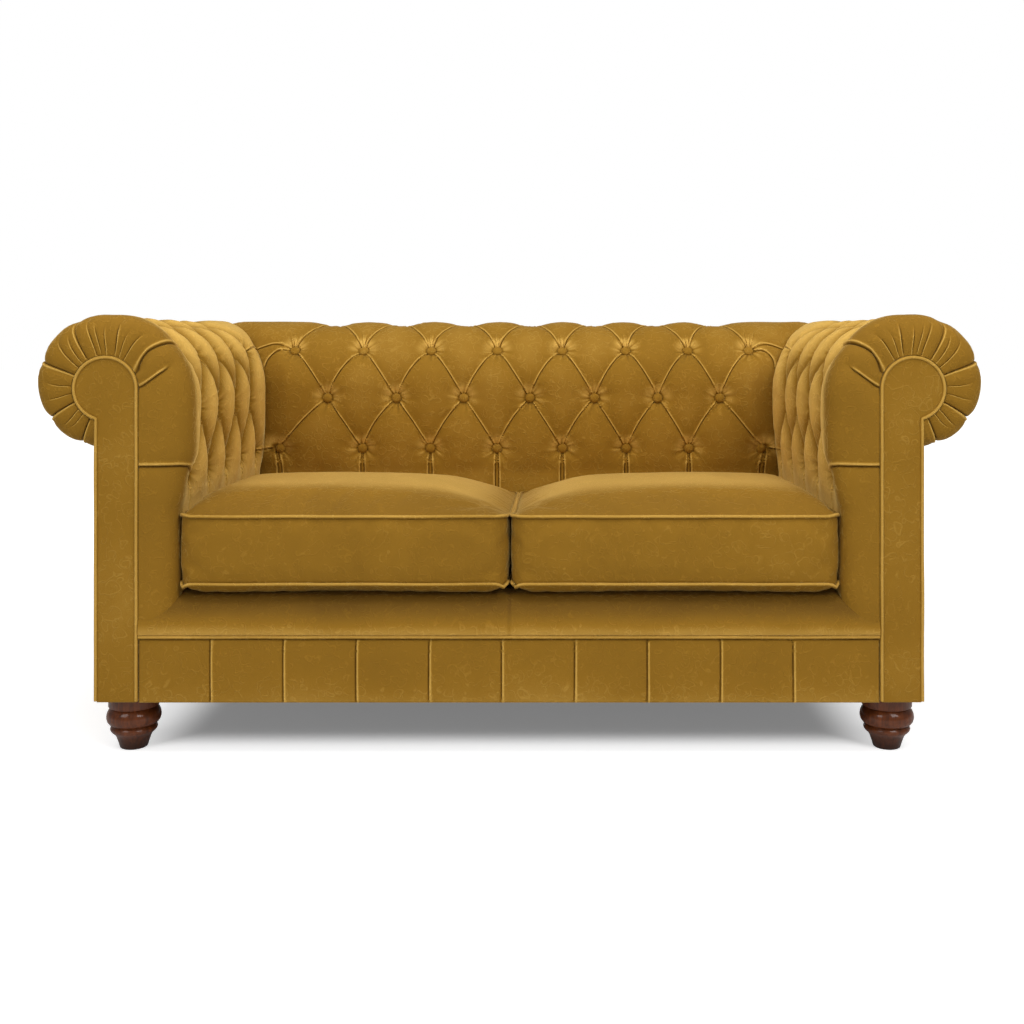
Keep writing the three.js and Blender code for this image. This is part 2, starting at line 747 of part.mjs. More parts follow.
// The border is pleated into equal panels by shallow grooves.
function frontBorder() {
  const pitch = (2 * seatHalf) / borderPanels;
  const panel = block(-seatHalf, seatHalf, faceY, faceY + borderThickness, bodyBottom, borderTop);
  const grooves = Array.from({ length: borderPanels - 1 }, (_, i) => {
    const x = -seatHalf + (i + 1) * pitch;
    const vee = outline([
      [x - borderGroove, faceY - 1], [x + borderGroove, faceY - 1], [x, faceY + borderGroove]]);
    const geometry = new THREE.ExtrudeGeometry(vee, { ...extrusion, depth: borderTop });
    return solid(geometry.translate(0, 0, bodyBottom - 10));
  });
  add('front_border', cut(panel, ...grooves), velvet);
  const pipingZ = borderTop + fit + pipingRadius;
  const cord = rod(
    new THREE.Vector3(-seatHalf, frontY + pipingRadius, pipingZ),
    new THREE.Vector3(seatHalf, frontY + pipingRadius, pipingZ), pipingRadius, 8);
  const flange = block(
    -seatHalf, seatHalf, frontY + pipingRadius, faceY + borderThickness,
    pipingZ - pipingFlange / 2, pipingZ + pipingFlange / 2);
  add('front_border_piping', join(cord, flange), velvet);
}

// ---------------------------------------------------------------- loose cushions with zips
function roundedRectangle(halfWidth, halfDepth, corner, z) {
  const arcs = [[1, 1, 0], [-1, 1, 1], [-1, -1, 2], [1, -1, 3]];
  return arcs.flatMap(([sx, sy, quarter]) => Array.from({ length: 5 }, (_, i) => {
    const angle = (quarter + i / 4) * Math.PI / 2;
    return new THREE.Vector3(
      sx * (halfWidth - corner) + corner * Math.cos(angle),
      sy * (halfDepth - corner) + corner * Math.sin(angle), z);
  }));
}

const cushionFrontY = frontY + cushionSetback;
const cushionBackY = backAxisY - seatReach - cushionBackGap;
const cushionDepth = cushionBackY - cushionFrontY;
const cushionWidth = armAxisX - seatReach - cushionSideGap - cushionGap / 2;
const cushionCentreX = -(cushionGap + cushionWidth) / 2;
const cushionCentreY = (cushionFrontY + cushionBackY) / 2;
const zipHeight = platformTop + cushionFloat + underCrown + cushionBorderHeight / 2;

// The crown's height over the upper piping, at a share of the way in from the edge.
const crownAt = (share) => crownHeight * (1 - (1 - share) ** 2.4);

function cushionForm() {
  const base = platformTop + cushionFloat;
  const low = base + underCrown;
  const high = low + cushionBorderHeight;
  const ring = (inset, z) => roundedRectangle(
    cushionWidth / 2 - inset, cushionDepth / 2 - inset, cushionCorner - inset / 12, z);
  const crownRings = [0.06, 0.15, 0.3, 0.5, 0.75].map((share) => ring(
    pipingRadius + (share * cushionWidth) / 2.2, high + crownAt(share)));
  const rings = [
    ring(underCrown * 3, base),
    ring(underCrown, base + underCrown / 3),
    ring(pipingRadius, low - pipingRadius),
    ring(0, low),
    ring(pipingRadius, low + pipingRadius),
    ring(pipingRadius, high - pipingRadius),
    ring(0, high),
    ...crownRings,
  ];
  return solid(geometryOf(convexLoft(rings)).translate(cushionCentreX, cushionCentreY, 0));
}

// A block in a cushion's rear border, centred on the zip's height.
function onZip(x0, x1, y0, y1, width) {
  return block(x0, x1, y0, y1, zipHeight - width / 2, zipHeight + width / 2);
}

function cushions() {
  const left = cushionCentreX - zipLength / 2;
  const right = cushionCentreX + zipLength / 2;
  const recessY = cushionBackY - pipingRadius - zipRecess;
  const recess = onZip(
    left - zipMargin, right + zipMargin, recessY, cushionBackY + 1, zipWidth + zipMargin);
  addPair('seat_cushion', cut(cushionForm(), recess), velvet);
  const tapeY = recessY + fit;
  const teethY = tapeY + zipTapeThickness;
  const tape = onZip(left, right, tapeY, teethY, zipWidth);
  const teeth = onZip(
    left + zipMargin, right - zipMargin, teethY - zipTapeThickness / 2,
    teethY + zipTeethThickness, zipTeethWidth);
  addPair('cushion_zip', join(tape, teeth), zipBrass);
  const start = left + 2 * zipMargin;
  const sliderY = teethY + zipTeethThickness + fit;
  const sliderBackY = sliderY + sliderThickness;
  const middleY = (sliderY + sliderBackY) / 2;
  const slider = join(
    onZip(start, start + sliderLength, sliderY, sliderBackY, sliderWidth),
    onZip(start + sliderLength - 2, start + sliderLength + pullerLength - 2,
      middleY, sliderBackY, pullerWidth));
  addPair('zip_slider', slider, zipBrass);
}

// ---------------------------------------------------------------- wooden frame
function armFrame() {
  const board = extrudeArmSection(facingShape(0, frameBottom), armBoardY, armBoardBackY);
  const panelRoom = block(
    -overallWidth, -sideRailOuter, frontY, overallDepth / 2, 0, panelTop + 2 * fit);
  addPair('arm_front_board', cut(board, panelRoom), beech);
  addPair('side_seat_rail', block(
    -sideRailOuter, -sideRailInner, armBoardBackY + fit, backRailBackY, frameBottom, railTop), beech);
  const slat = (name, z, height) => addPair(name, block(
    frameReach - slatThickness - armAxisX, frameReach - armAxisX,
    armBoardBackY + fit, backRailBackY, z, z + height), beech);
  slat('arm_tack_rail', tackRailBottom, tackRailHeight);
  slat('arm_top_rail', topRailBottom, topRailHeight);
  addPair('arm_hessian', block(
    frameReach + fit - armAxisX, frameReach + fit + hessianThickness - armAxisX,
    armBoardBackY + fit, backRailBackY, hessianBottom, hessianTop), hessianCloth);
}

function backFrame() {
  const reach = sideRailInner - fit;
  add('back_seat_rail', block(-reach, reach, backRailY, backRailBackY, frameBottom, railTop), beech);
  const slat = (z, height, gap) => block(
    -reach - gap, reach + gap, backAxisY - frameReach - gap,
    backAxisY - frameReach + slatThickness + gap, z - gap, z + height + gap);
  const slats = {
    back_tack_rail: [tackRailBottom, tackRailHeight],
    back_top_rail: [topRailBottom, topRailHeight],
  };
  for (const [name, span] of Object.entries(slats)) add(name, slat(...span, 0), beech);
  const notches = Object.values(slats).map((span) => slat(...span, fit));
  const panelRoom = block(
    -overallWidth, overallWidth, uprightBackY, overallDepth, 0, panelTop + 2 * fit);
  const shape = postShape(frameReach, uprightHeadRadius, frameBottom);
  const endX = (sideRailInner + sideRailOuter) / 2;
  const places = { left: -endX, middle: 0, right: endX };
  for (const [name, x] of Object.entries(places)) {
    const upright = extrudeBackSection(shape, x - railThickness / 2, x + railThickness / 2);
    add(`back_upright_${name}`, cut(upright, panelRoom, ...notches), beech);
  }
  add('back_hessian', block(
    -deckHalf, deckHalf, backRailBackY - hessianThickness, backRailBackY,
    hessianBottom, hessianTop), hessianCloth);
}

function seatFrame() {
  add('front_seat_rail', block(
    -seatHalf, seatHalf, frontRailY, frontRailBackY, frameBottom, railTop), beech);
  const braceTop = railTop - braceDrop;
  add('centre_seat_brace', block(
    -railThickness / 2, railThickness / 2, frontRailBackY + fit, backRailY - fit,
    braceTop - braceHeight, braceTop), beech);
}

// ---------------------------------------------------------------- legs, bolts and corner blocks
const legX = overallWidth / 2 - legInsetX;
const legPlaces = {
  front: frontY + legInsetFront,
  rear: panelBackY - legInsetRear,
};

// A turned leg: a tapered foot, a small ring, a bun and a plain collar under the frame. The turned
// part is drawn in shares of its height and of the leg's radius.
function legForm() {
  const turned = legHeight - legCollarHeight;
  const at = (radius, height) => [radius * legRadius, height * turned];
  const profile = new THREE.Path();
  profile.moveTo(0, 0);
  profile.lineTo(...at(0.51, 0));
  profile.lineTo(...at(0.61, 0.22));
  profile.quadraticCurveTo(...at(0.65, 0.31), ...at(0.82, 0.39)); // hollow of the foot
  profile.quadraticCurveTo(...at(0.94, 0.46), ...at(0.79, 0.54)); // small ring
  profile.quadraticCurveTo(...at(0.98, 0.59), ...at(1, 0.75)); // bun
  profile.quadraticCurveTo(...at(1, 0.92), ...at(0.84, 0.97));
  profile.lineTo(...at(0.93, 1));
  profile.lineTo(0.93 * legRadius, legHeight);
  profile.lineTo(0, legHeight);
  return solid(new THREE.LatheGeometry(profile.getPoints(2), 16).rotateX(Math.PI / 2));
}

function onLeg(made, y) {
  return solid(geometryOf(made).translate(-legX, y, 0));
}

function legs() {
  const bolt = (radius, from, to) => rod(
    new THREE.Vector3(0, 0, from), new THREE.Vector3(0, 0, to), radius, 8);
  const boltBottom = legHeight - boltInLeg;
  const boltTop = frameBottom + boltInBlock;
  const boltRoom = bolt(boltRadius + fit, boltBottom - fit, boltTop + fit);
  const leg = cut(legForm(), boltRoom);
  const cornerBlock = (y0, y1) => block(
    -sideRailInner + fit, -legX + blockReach, y0, y1, frameBottom, frameBottom + blockHeight);
  const blocks = {
    front: cornerBlock(frontRailBackY + fit, frontRailBackY + blockDepth),
    rear: cornerBlock(uprightY, uprightBackY),
  };
  for (const [end, y] of Object.entries(legPlaces)) {
    addPair(`${end}_leg`, onLeg(leg, y), walnutStain);
    addPair(`${end}_leg_bolt`, onLeg(bolt(boltRadius, boltBottom, boltTop), y), zincSteel);
    addPair(`${end}_corner_block`, cut(blocks[end], onLeg(boltRoom, y)), beech);
  }
  dustCover(boltRoom);
}

function dustCover(boltRoom) {
  const sheet = block(-sideRailOuter, sideRailOuter, armBoardY, uprightBackY,
    bodyBottom + fit, bodyBottom + fit + dustCoverThickness);
  const holes = Object.values(legPlaces).flatMap((y) => {
    const hole = onLeg(boltRoom, y);
    return [hole, mirrored(hole)];
  });
  add('dust_cover', cut(sheet, ...holes), dustCloth);
}

// ---------------------------------------------------------------- sinuous seat springs
const springSpacing = (2 * seatHalf) / springCount;
const springTop = platformTop - deckThickness - fit - springWire;

class SinuousWire extends THREE.Curve {
  constructor(x) {
    super();
    this.x = x;
  }

  getPoint(t) {
    const front = frontRailY + springMargin;
    const back = backRailBackY - springMargin;
    const phase = 2 * Math.PI * springWaves * t;
    const bulge = (back - front) / springWaves / 10; // widens the turns of the wire
    const ends = railTop + fit + springWire;
    const height = ends + Math.min(springRise, springTop - ends) * Math.sin(Math.PI * t);
    return new THREE.Vector3(
      this.x + springSwing * Math.sin(phase),
      THREE.MathUtils.lerp(front, back, t) + bulge * Math.sin(2 * phase),
      height);
  }
}

function springs() {
  const section = new THREE.Shape().absarc(0, 0, springWire, 0, 2 * Math.PI, false);
  for (let i = 0; i < springCount; i += 1) {
    const wire = new SinuousWire((i - (springCount - 1) / 2) * springSpacing);
    const geometry = new THREE.ExtrudeGeometry(section, {
      extrudePath: wire, steps: springWaves * 6, curveSegments: 2, bevelEnabled: false });
    add(`seat_spring_${i + 1}`, solid(geometry), springSteel);
  }
}

// ---------------------------------------------------------------- assembly
upholsteredBack();
upholsteredArms();
armFacings();
outsidePanels();
seatPlatform();
frontBorder();
cushions();
seatFrame();
armFrame();
backFrame();
legs();
springs();

export default sofa;
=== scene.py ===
"""A two-seat rolled-arm sofa in buttoned velvet: its looks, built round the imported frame.

Metres, +Z up, the front towards -Y. Left is the side of negative X. A place on the flat cover of
an arm or the back is u, along it, and v, the length up its section from the foot of the inner face.
"""

import json
import math

import bpy
import numpy as np
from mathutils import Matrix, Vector, noise
from mathutils.geometry import delaunay_2d_cdt
from mathutils.kdtree import KDTree

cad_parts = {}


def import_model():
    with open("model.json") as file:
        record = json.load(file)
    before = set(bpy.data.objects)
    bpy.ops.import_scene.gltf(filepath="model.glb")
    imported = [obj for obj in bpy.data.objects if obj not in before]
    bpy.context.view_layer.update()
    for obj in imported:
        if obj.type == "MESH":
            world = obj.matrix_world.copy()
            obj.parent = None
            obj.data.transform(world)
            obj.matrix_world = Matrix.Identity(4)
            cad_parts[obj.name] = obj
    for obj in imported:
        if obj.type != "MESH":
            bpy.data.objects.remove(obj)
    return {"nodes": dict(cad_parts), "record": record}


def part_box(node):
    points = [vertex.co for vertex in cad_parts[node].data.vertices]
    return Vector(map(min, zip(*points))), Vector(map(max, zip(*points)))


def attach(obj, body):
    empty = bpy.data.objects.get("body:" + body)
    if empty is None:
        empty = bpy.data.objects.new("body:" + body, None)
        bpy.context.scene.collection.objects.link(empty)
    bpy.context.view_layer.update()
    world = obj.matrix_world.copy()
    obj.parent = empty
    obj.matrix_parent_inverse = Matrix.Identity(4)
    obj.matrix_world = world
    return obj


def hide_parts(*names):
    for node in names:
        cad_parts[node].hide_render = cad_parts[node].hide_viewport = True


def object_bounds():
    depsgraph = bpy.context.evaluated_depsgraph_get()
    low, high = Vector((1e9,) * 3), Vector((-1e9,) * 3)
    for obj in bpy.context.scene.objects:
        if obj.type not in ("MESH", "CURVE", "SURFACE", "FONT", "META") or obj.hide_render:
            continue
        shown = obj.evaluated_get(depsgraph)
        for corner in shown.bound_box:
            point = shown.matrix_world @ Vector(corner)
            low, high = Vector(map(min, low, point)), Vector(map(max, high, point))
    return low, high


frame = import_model()
cad_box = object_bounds()

# ---------------------------------------------------------------- sizes
FIT = 0.0003  # clearance between pieces that meet
PIPING = 0.0035  # radius

# Section of the arms and back. A reach is from the roll's axis, towards the seat.
ROLL_RADIUS = 0.120
PAD_REACH = 0.139
FULLEST_DROP = 0.035  # of the fullest place below the roll's axis
OVERHANG_DROP = 0.080  # of the overhang's top below the roll's axis
OVERHANG_RISE = 0.150  # of its foot above the platform
FOOT_LEAN, HEAD_LEAN = 0.13, 0.14  # shares of its height over which it bends
SEAT_REACH = 0.122
CORE_REACH = 0.062
CORE_RADIUS = 0.075
PANEL_REACH = 0.020
PANEL_LAP = 0.001
PAD_UNDERLAP = 0.010  # of the pad below the top of the border
NORMAL_STEP = 0.002

# Front of the arms.
FACING_RADIUS = 0.060
FACING_DROP = 0.013
MOUTH_GAP = 0.0009
ROUNDING = 0.045
PAD_SETBACK = 0.004
TURN_LENGTH = 0.090  # of the cover where it turns in to the facing
TURN_SQUARENESS = 0.8
FRONT_FULLNESS = 0.012  # of the roll behind its turned front
LOBE_FULLNESS = 0.009  # of the inner face there
# Ranges of u over which the roll and the inner face swell behind the front, and shrink back.
ROLL_SWELLS, ROLL_SHRINKS = (0.01, 0.06), (0.11, 0.24)
LOBE_SWELLS, LOBE_SHRINKS = (0.02, 0.10), (0.12, 0.18)
PLAIN_ENDS = (0.085, 0.125)  # of the plain cover at the front

# Quarter round of the nose, over the front of the platform.
NOSE_RUN = 0.068
NOSE_RISE = 0.066

# Corner where arm and back meet.
MITRE_VALLEY = 0.012
MITRE_BLEND = 0.045
MITRE_SHIFT = 0.060
CORNER_SETBACK = 0.004  # of the end of a fold from the corner
# Folds from a button to the corner: the button's row, the height at the corner, and the bow.
BACK_CORNER_FOLDS = ((2, 0.742, 0.012), (2, 0.697, 0.020), (0, 0.497, 0.002))
ARM_CORNER_FOLDS = ((2, 0.742, 0.004), (0, 0.500, 0.001))

BACK_BUTTONS = 8
ARM_BUTTONS = 5
BACK_BUTTON_INSET = 0.065
ARM_FIRST_BUTTON = 0.113
ARM_LAST_INSET = 0.073
FIRST_ROW_RISE = 0.207
ROW_SHARES = (0, 0.32, 0.65, 1)
LAST_ROW_BEHIND = 0.002
BUTTON_RADIUS = 0.0115
BUTTON_HEIGHT = 0.0075
BUTTON_RIM = 0.0012  # height of its upright side
BUTTON_SINK = 0.0008  # of its base below the cloth at its rim
TWINE_RADIUS = 0.0008
HAND_DRIFT = 0.024  # the middle of the back's buttons is tied off this far to the right
HALF_BACK = 0.600
CORNER_SHIFT = 0.028  # the lowest end buttons are pulled this much nearer the corners

# Form of a buttoned cover: width of a button's pit, depth and width of the valley along a fold, how
# strongly and from what level painted shade darkens a hollow and painted light brightens the cover
# between, and the strength of the painted highlight round a button. The arms' levels paint them
# lighter than the back.
BACK_FORM = dict(pit=0.028, valley=0.008, spread=0.026, shade=0.12, open=0.4, halo=0.75)
ARM_FORM = dict(pit=0.032, valley=0.021, spread=0.029, shade=1.5, open=0.85, halo=0.3)
PIT_DEPTH = 0.024  # under a button, where no fold reaches it
PIT_POWER = 1.3
PIT_REACH = 0.20
BLEND_POWER = 3  # how sharply one hollow gives way to the next
MEETING_FOLDS = 4  # at each button
BULGE = 0.002
UNEVENNESS, UNEVEN_SCALE = 0.0012, 14
SHADING_LIMIT = 0.8  # the painted light and shade is held between 1, brightest, and -1, darkest
PLAIN_SHADE = 0.12  # of the painted shade on the arm's front and over its roll
WRINKLE_DEPTH = 0.0014
WRINKLE_PEAK = 0.019
WRINKLE_COUNTS = (9, 14, 21, 30)  # round a button, laid over each other
WRINKLE_TWIST = 6
# Painted light and shade along the wrinkles round a button.
WRINKLE_PAINTED_SHADING = 0.28
HALO_RADIUS, HALO_WIDTH = 0.020, 0.013  # of the painted highlight round a button
# Painted shade in a ring at a button's rim: its strength and width.
RIM_SHADE, RIM_WIDTH = 0.5, 0.0025

# ---------------------------------------------------------------- places, from the frame
HALF_WIDTH = cad_box[1].x
TOP_Z = cad_box[1].z
BACK_Y = cad_box[1].y
FRONT_Y = -BACK_Y
ARM_AXIS_X = HALF_WIDTH - ROLL_RADIUS
BACK_AXIS_Y = BACK_Y - ROLL_RADIUS
AXIS_Z = TOP_Z - ROLL_RADIUS
HEAD_Z = AXIS_Z - FACING_DROP
PLATFORM_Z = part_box("seat_deck")[1].z
NOSE_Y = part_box("seat_nose")[0].y
NOSE_SHOULDER = PLATFORM_Z - NOSE_RISE
BORDER_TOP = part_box("front_border")[1].z
FIRST_ARM_Y = ARM_FIRST_BUTTON
LAST_ARM_Y = BACK_AXIS_Y - SEAT_REACH - ARM_LAST_INSET - FRONT_Y
ARM_PITCH = (LAST_ARM_Y - FIRST_ARM_Y) / (ARM_BUTTONS - 1)
END_BUTTON_X = ARM_AXIS_X - SEAT_REACH - BACK_BUTTON_INSET
BACK_PITCH = 2 * END_BUTTON_X / (BACK_BUTTONS - 1)


def smoothstep(value, low, high):
    share = np.clip((value - low) / (high - low), 0, 1)
    return share * share * (3 - 2 * share)


# ---------------------------------------------------------------- section of arms and back
def section_points():
    """The outline from the foot of the inner face, up and over the roll, to its underside."""
    overhang = PLATFORM_Z + OVERHANG_RISE
    fullest = AXIS_Z - FULLEST_DROP
    top = AXIS_Z - OVERHANG_DROP
    share = np.linspace(0, 1, 40)[:, None]
    ends = np.array([(SEAT_REACH, overhang), (PAD_REACH, top)])
    lean = ends[0] + (0, FOOT_LEAN * (top - overhang))
    rise = np.array([PAD_REACH, overhang + HEAD_LEAN * (top - overhang)])
    swelling = ((1 - share) ** 3 * ends[0] + 3 * (1 - share) ** 2 * share * lean
                + 3 * (1 - share) * share ** 2 * rise + share ** 3 * ends[1])
    quarter = np.linspace(0, math.pi / 2, 60)[:, None]
    over = np.hstack([PAD_REACH * np.cos(quarter), fullest + (TOP_Z - fullest) * np.sin(quarter)])
    rounded_end = math.pi + math.acos((PANEL_REACH - PANEL_LAP) / ROLL_RADIUS)
    arc = np.linspace(math.pi / 2, rounded_end, 120)[1:, None]
    behind = ROLL_RADIUS * np.hstack([np.cos(arc), np.sin(arc)]) + (0, AXIS_Z)
    foot = np.array([(SEAT_REACH, BORDER_TOP - PAD_UNDERLAP)])
    return np.vstack([foot, swelling, over, behind])


SECTION = section_points()
STEPS = np.hypot(*np.diff(SECTION, axis=0).T)
LENGTHS = np.concatenate([[0], np.cumsum(STEPS)])
CREST = LENGTHS[np.argmax(SECTION[:, 1])]
END_V = LENGTHS[-1]


def section_at(length):
    """Reach from the roll's axis towards the seat, and height, at a length along the outline."""
    return np.interp(length, LENGTHS, SECTION[:, 0]), np.interp(length, LENGTHS, SECTION[:, 1])


def section_normal(length):
    before, after = section_at(length - NORMAL_STEP), section_at(length + NORMAL_STEP)
    along = np.stack([after[0] - before[0], after[1] - before[1]])
    along /= np.hypot(*along)
    return along[1], -along[0]


def length_at_height(height):
    rising = LENGTHS <= CREST
    return np.interp(height, SECTION[rising, 1], LENGTHS[rising])


def length_at_angle(degrees):
    """Where the outline is seen at an angle from the centre of the facing's head."""
    angles = np.unwrap(np.arctan2(SECTION[:, 1] - HEAD_Z, SECTION[:, 0]))
    return np.interp(math.radians(degrees), angles, LENGTHS)


ROWS = (length_at_height(PLATFORM_Z + FIRST_ROW_RISE) * (1 - np.array(ROW_SHARES))
        + (CREST + LAST_ROW_BEHIND) * np.array(ROW_SHARES))


def core_at(length):
    """The wall of the hollow behind the foam, opposite a length along the outline."""
    reach, height = section_at(length)
    drop = math.sqrt(CORE_RADIUS ** 2 - CORE_REACH ** 2)
    upright = (reach > 0) & (height < AXIS_Z - drop)
    away = np.hypot(reach, height - AXIS_Z)
    core_reach = np.where(upright, CORE_REACH, reach * CORE_RADIUS / away)
    core_height = np.where(upright, height, AXIS_Z + (height - AXIS_Z) * CORE_RADIUS / away)
    return core_reach, core_height


def facing_edge(length):
    """The point of the arm facing's edge that the cover turns in to."""
    reach, height = section_at(length)
    upright = (reach > 0) & (height < HEAD_Z)
    away = np.hypot(reach, height - HEAD_Z)
    radius = FACING_RADIUS + MOUTH_GAP
    edge_reach = np.where(upright, radius, reach * radius / away)
    edge_height = np.where(upright, height, HEAD_Z + (height - HEAD_Z) * radius / away)
    return edge_reach, edge_height


# ---------------------------------------------------------------- flat covers and their folds
PLEAT_STEP = 0.006
# Where a fold of the full size has its fine points, to the right of its path.
PLEAT_OFFSETS = np.array([-16, -11, -7.5, -5.2, -3.8, -2.8, -2.0, -1.2, -0.4, 0.4, 1.0, 1.6, 2.3,
                          3.2, 4.6, 7, 11, 16]) / 1000
RING_RADII = np.array([10, 12, 14, 16.5, 19.5, 23, 27.5, 33, 40]) / 1000  # round each button
FULL_PLEAT = 0.0042
BASE_STEP = 0.009  # of the plain grid
BACK_STEP = 0.0105
ROW_SHARE = 0.866  # of a step between the rows of an even triangular grid
FINE_CELL, FINE_GAP = 0.0008, 0.0009  # fine points closer to each other or the edge are left out

# Section of a fold, in sizes of the fold: place and width of its lip and groove, and their rise.
LIP_PLACE, LIP_WIDTH, LIP_RISE = -0.62, 0.55, 0.42
GROOVE_PLACE, GROOVE_WIDTH, GROOVE_RISE = 0.3, 0.38, -0.75
SHELF_WIDTH, SHELF_RISE = 3, 0.22  # of the doubled cloth beside the lip
# Painted highlight on a fold's lip and painted shade in its groove.
FOLD_PAINTED_SHADING = 0.75
FOLD_END = 0.005
VALLEY_POWER = 1.4


def resampled(path, step):
    path = np.asarray(path, float)
    length = np.concatenate([[0], np.cumsum(np.hypot(*np.diff(path, axis=0).T))])
    count = max(3, int(length[-1] / step) + 1)
    at = np.linspace(0, length[-1], count)
    return np.stack([np.interp(at, length, path[:, 0]), np.interp(at, length, path[:, 1])], 1)


def bowed(start, end, bow, trim=(0.0, 0.0)):
    """A path from start to end that bows to its left, cut short by a length at each end."""
    start, end = np.array(start, float), np.array(end, float)
    chord = end - start
    length = np.hypot(*chord)
    left = np.array([-chord[1], chord[0]]) / length
    share = np.linspace(trim[0] / length, 1 - trim[1] / length, 24)[:, None]
    return start + chord * share + left * bow * 4 * share * (1 - share)


class Pleat:
    """A fold in a flat cover. Its lip lies on the left of its path, and its shadow on the right."""

    def __init__(self, path, size=0.0034, valley=0.006, spread=0.018, fades=(0.0, 0.0), side=1):
        self.path = resampled(path, PLEAT_STEP)
        self.size, self.valley, self.spread = size, valley, spread
        self.fades, self.side = fades, side

    def samples(self):
        along = np.gradient(self.path, axis=0)
        along /= np.hypot(*along.T)[:, None]
        right = np.stack([along[:, 1], -along[:, 0]], 1) * self.side
        offsets = PLEAT_OFFSETS * self.size / FULL_PLEAT
        return (self.path[:, None] + right[:, None] * offsets[None, :, None]).reshape(-1, 2)

    def measured(self, points):
        """Signed distance to the right of the path, share along it, and how far past its ends."""
        start, step = self.path[:-1], np.diff(self.path, axis=0)
        squared = (step ** 2).sum(1)
        offset = points[:, None] - start[None]
        share = np.clip((offset * step).sum(2) / squared, 0, 1)
        away = offset - share[..., None] * step
        distance = np.hypot(away[..., 0], away[..., 1])
        best = distance.argmin(1)
        row = np.arange(len(points))
        chosen, length = offset[row, best], np.sqrt(squared[best])
        right = (chosen[:, 0] * step[best, 1] - chosen[:, 1] * step[best, 0]) / length
        beyond = np.sqrt(np.maximum(distance[row, best] ** 2 - right ** 2, 0))
        return right * self.side, (best + share[row, best]) / len(step), beyond

    def add_to(self, points, height, valley, painted_shading):
        low, high = self.path.min(0) - 3 * self.spread, self.path.max(0) + 3 * self.spread
        near = np.flatnonzero(((points > low) & (points < high)).all(1))
        if not len(near):
            return
        right, share, beyond = self.measured(points[near])
        strength = np.exp(-(beyond / FOLD_END) ** 2)
        for fade, from_end in zip(self.fades, (share, 1 - share)):
            if fade:
                strength = strength * smoothstep(from_end, 0, fade)
        size = self.size
        lip = np.exp(-((right - LIP_PLACE * size) / (LIP_WIDTH * size)) ** 2)
        groove = np.exp(-((right - GROOVE_PLACE * size) / (GROOVE_WIDTH * size)) ** 2)
        shelf = np.where(right < 0, np.exp(right / (SHELF_WIDTH * size)), 0)
        height[near] += strength * size * (LIP_RISE * lip + GROOVE_RISE * groove
                                           + SHELF_RISE * shelf)
        # Painted highlight on the lip and painted shade in the groove.
        painted_shading[near] += strength * (FOLD_PAINTED_SHADING * lip - FOLD_PAINTED_SHADING * groove)
        trough = np.exp(-(np.hypot(right, beyond) / self.spread) ** VALLEY_POWER)
        valley[near] += (self.valley * trough) ** BLEND_POWER


def button_relief(points, buttons, height, valley, painted_shading, seed, form):
    """The pit round each button, with the short wrinkles that run out of it, and the light and
    shade painted round it.
    """
    rng = np.random.default_rng(seed)
    for centre in buttons:
        waves = [(n, rng.uniform(0, 2 * math.pi), rng.uniform(0.5, 1)) for n in WRINKLE_COUNTS]
        offset = points - centre
        radius = np.hypot(*offset.T)
        near = np.flatnonzero(radius < PIT_REACH)
        r, angle = radius[near], np.arctan2(offset[near, 1], offset[near, 0])
        valley[near] += (PIT_DEPTH * np.exp(-(r / form["pit"]) ** PIT_POWER)) ** BLEND_POWER
        pattern = sum(a * np.cos(n * angle + turn + WRINKLE_TWIST * r * n)
                      for n, turn, a in waves) / 2
        reach = (r / WRINKLE_PEAK) * np.exp(1 - r / WRINKLE_PEAK)
        height[near] += WRINKLE_DEPTH * pattern * reach
        # Painted highlight round the button, stronger on its upper side, painted light and shade
        # along its wrinkles, and painted shade at its rim.
        above = 0.5 + 0.5 * np.sin(angle)
        halo = np.exp(-((r - HALO_RADIUS) / HALO_WIDTH) ** 2) * (r > BUTTON_RADIUS)
        painted_shading[near] += (form["halo"] * above + WRINKLE_PAINTED_SHADING * pattern) * halo
        painted_shading[near] -= RIM_SHADE * np.exp(-((r - BUTTON_RADIUS) / RIM_WIDTH) ** 2)


def ring_points(buttons):
    rings = []
    for centre in buttons:
        for i, radius in enumerate(RING_RADII):
            angle = np.linspace(0, 2 * math.pi, 36, endpoint=False) + 0.5 * i
            rings.append(centre + radius * np.stack([np.cos(angle), np.sin(angle)], 1))
    return np.vstack(rings)


def inside_polygon(points, polygon):
    x, y = points[:, 0], points[:, 1]
    inside = np.zeros(len(points), bool)
    for (x0, y0), (x1, y1) in zip(polygon, np.roll(polygon, -1, axis=0)):
        crosses = (y0 > y) != (y1 > y)
        if crosses.any():
            inside[crosses] ^= x[crosses] < x0 + (x1 - x0) * (y[crosses] - y0) / (y1 - y0)
    return inside


def thinned(points, gap):
    cells = np.floor(points / gap).astype(np.int64)
    _, first = np.unique(cells, axis=0, return_index=True)
    return points[np.sort(first)]


def clear_of(points, kept, gap):
    tree = KDTree(len(kept))
    for i, (x, y) in enumerate(kept):
        tree.insert((x, y, 0), i)
    tree.balance()
    distance = np.array([tree.find((x, y, 0))[2] for x, y in points])
    return points[distance > gap]


def base_grid(low, high, step):
    grid = []
    for i, v in enumerate(np.arange(low[1], high[1], step * ROW_SHARE)):
        u = np.arange(low[0] + (i % 2) * step / 2, high[0], step)
        grid.append(np.stack([u, np.full(len(u), v)], 1))
    return np.vstack(grid)


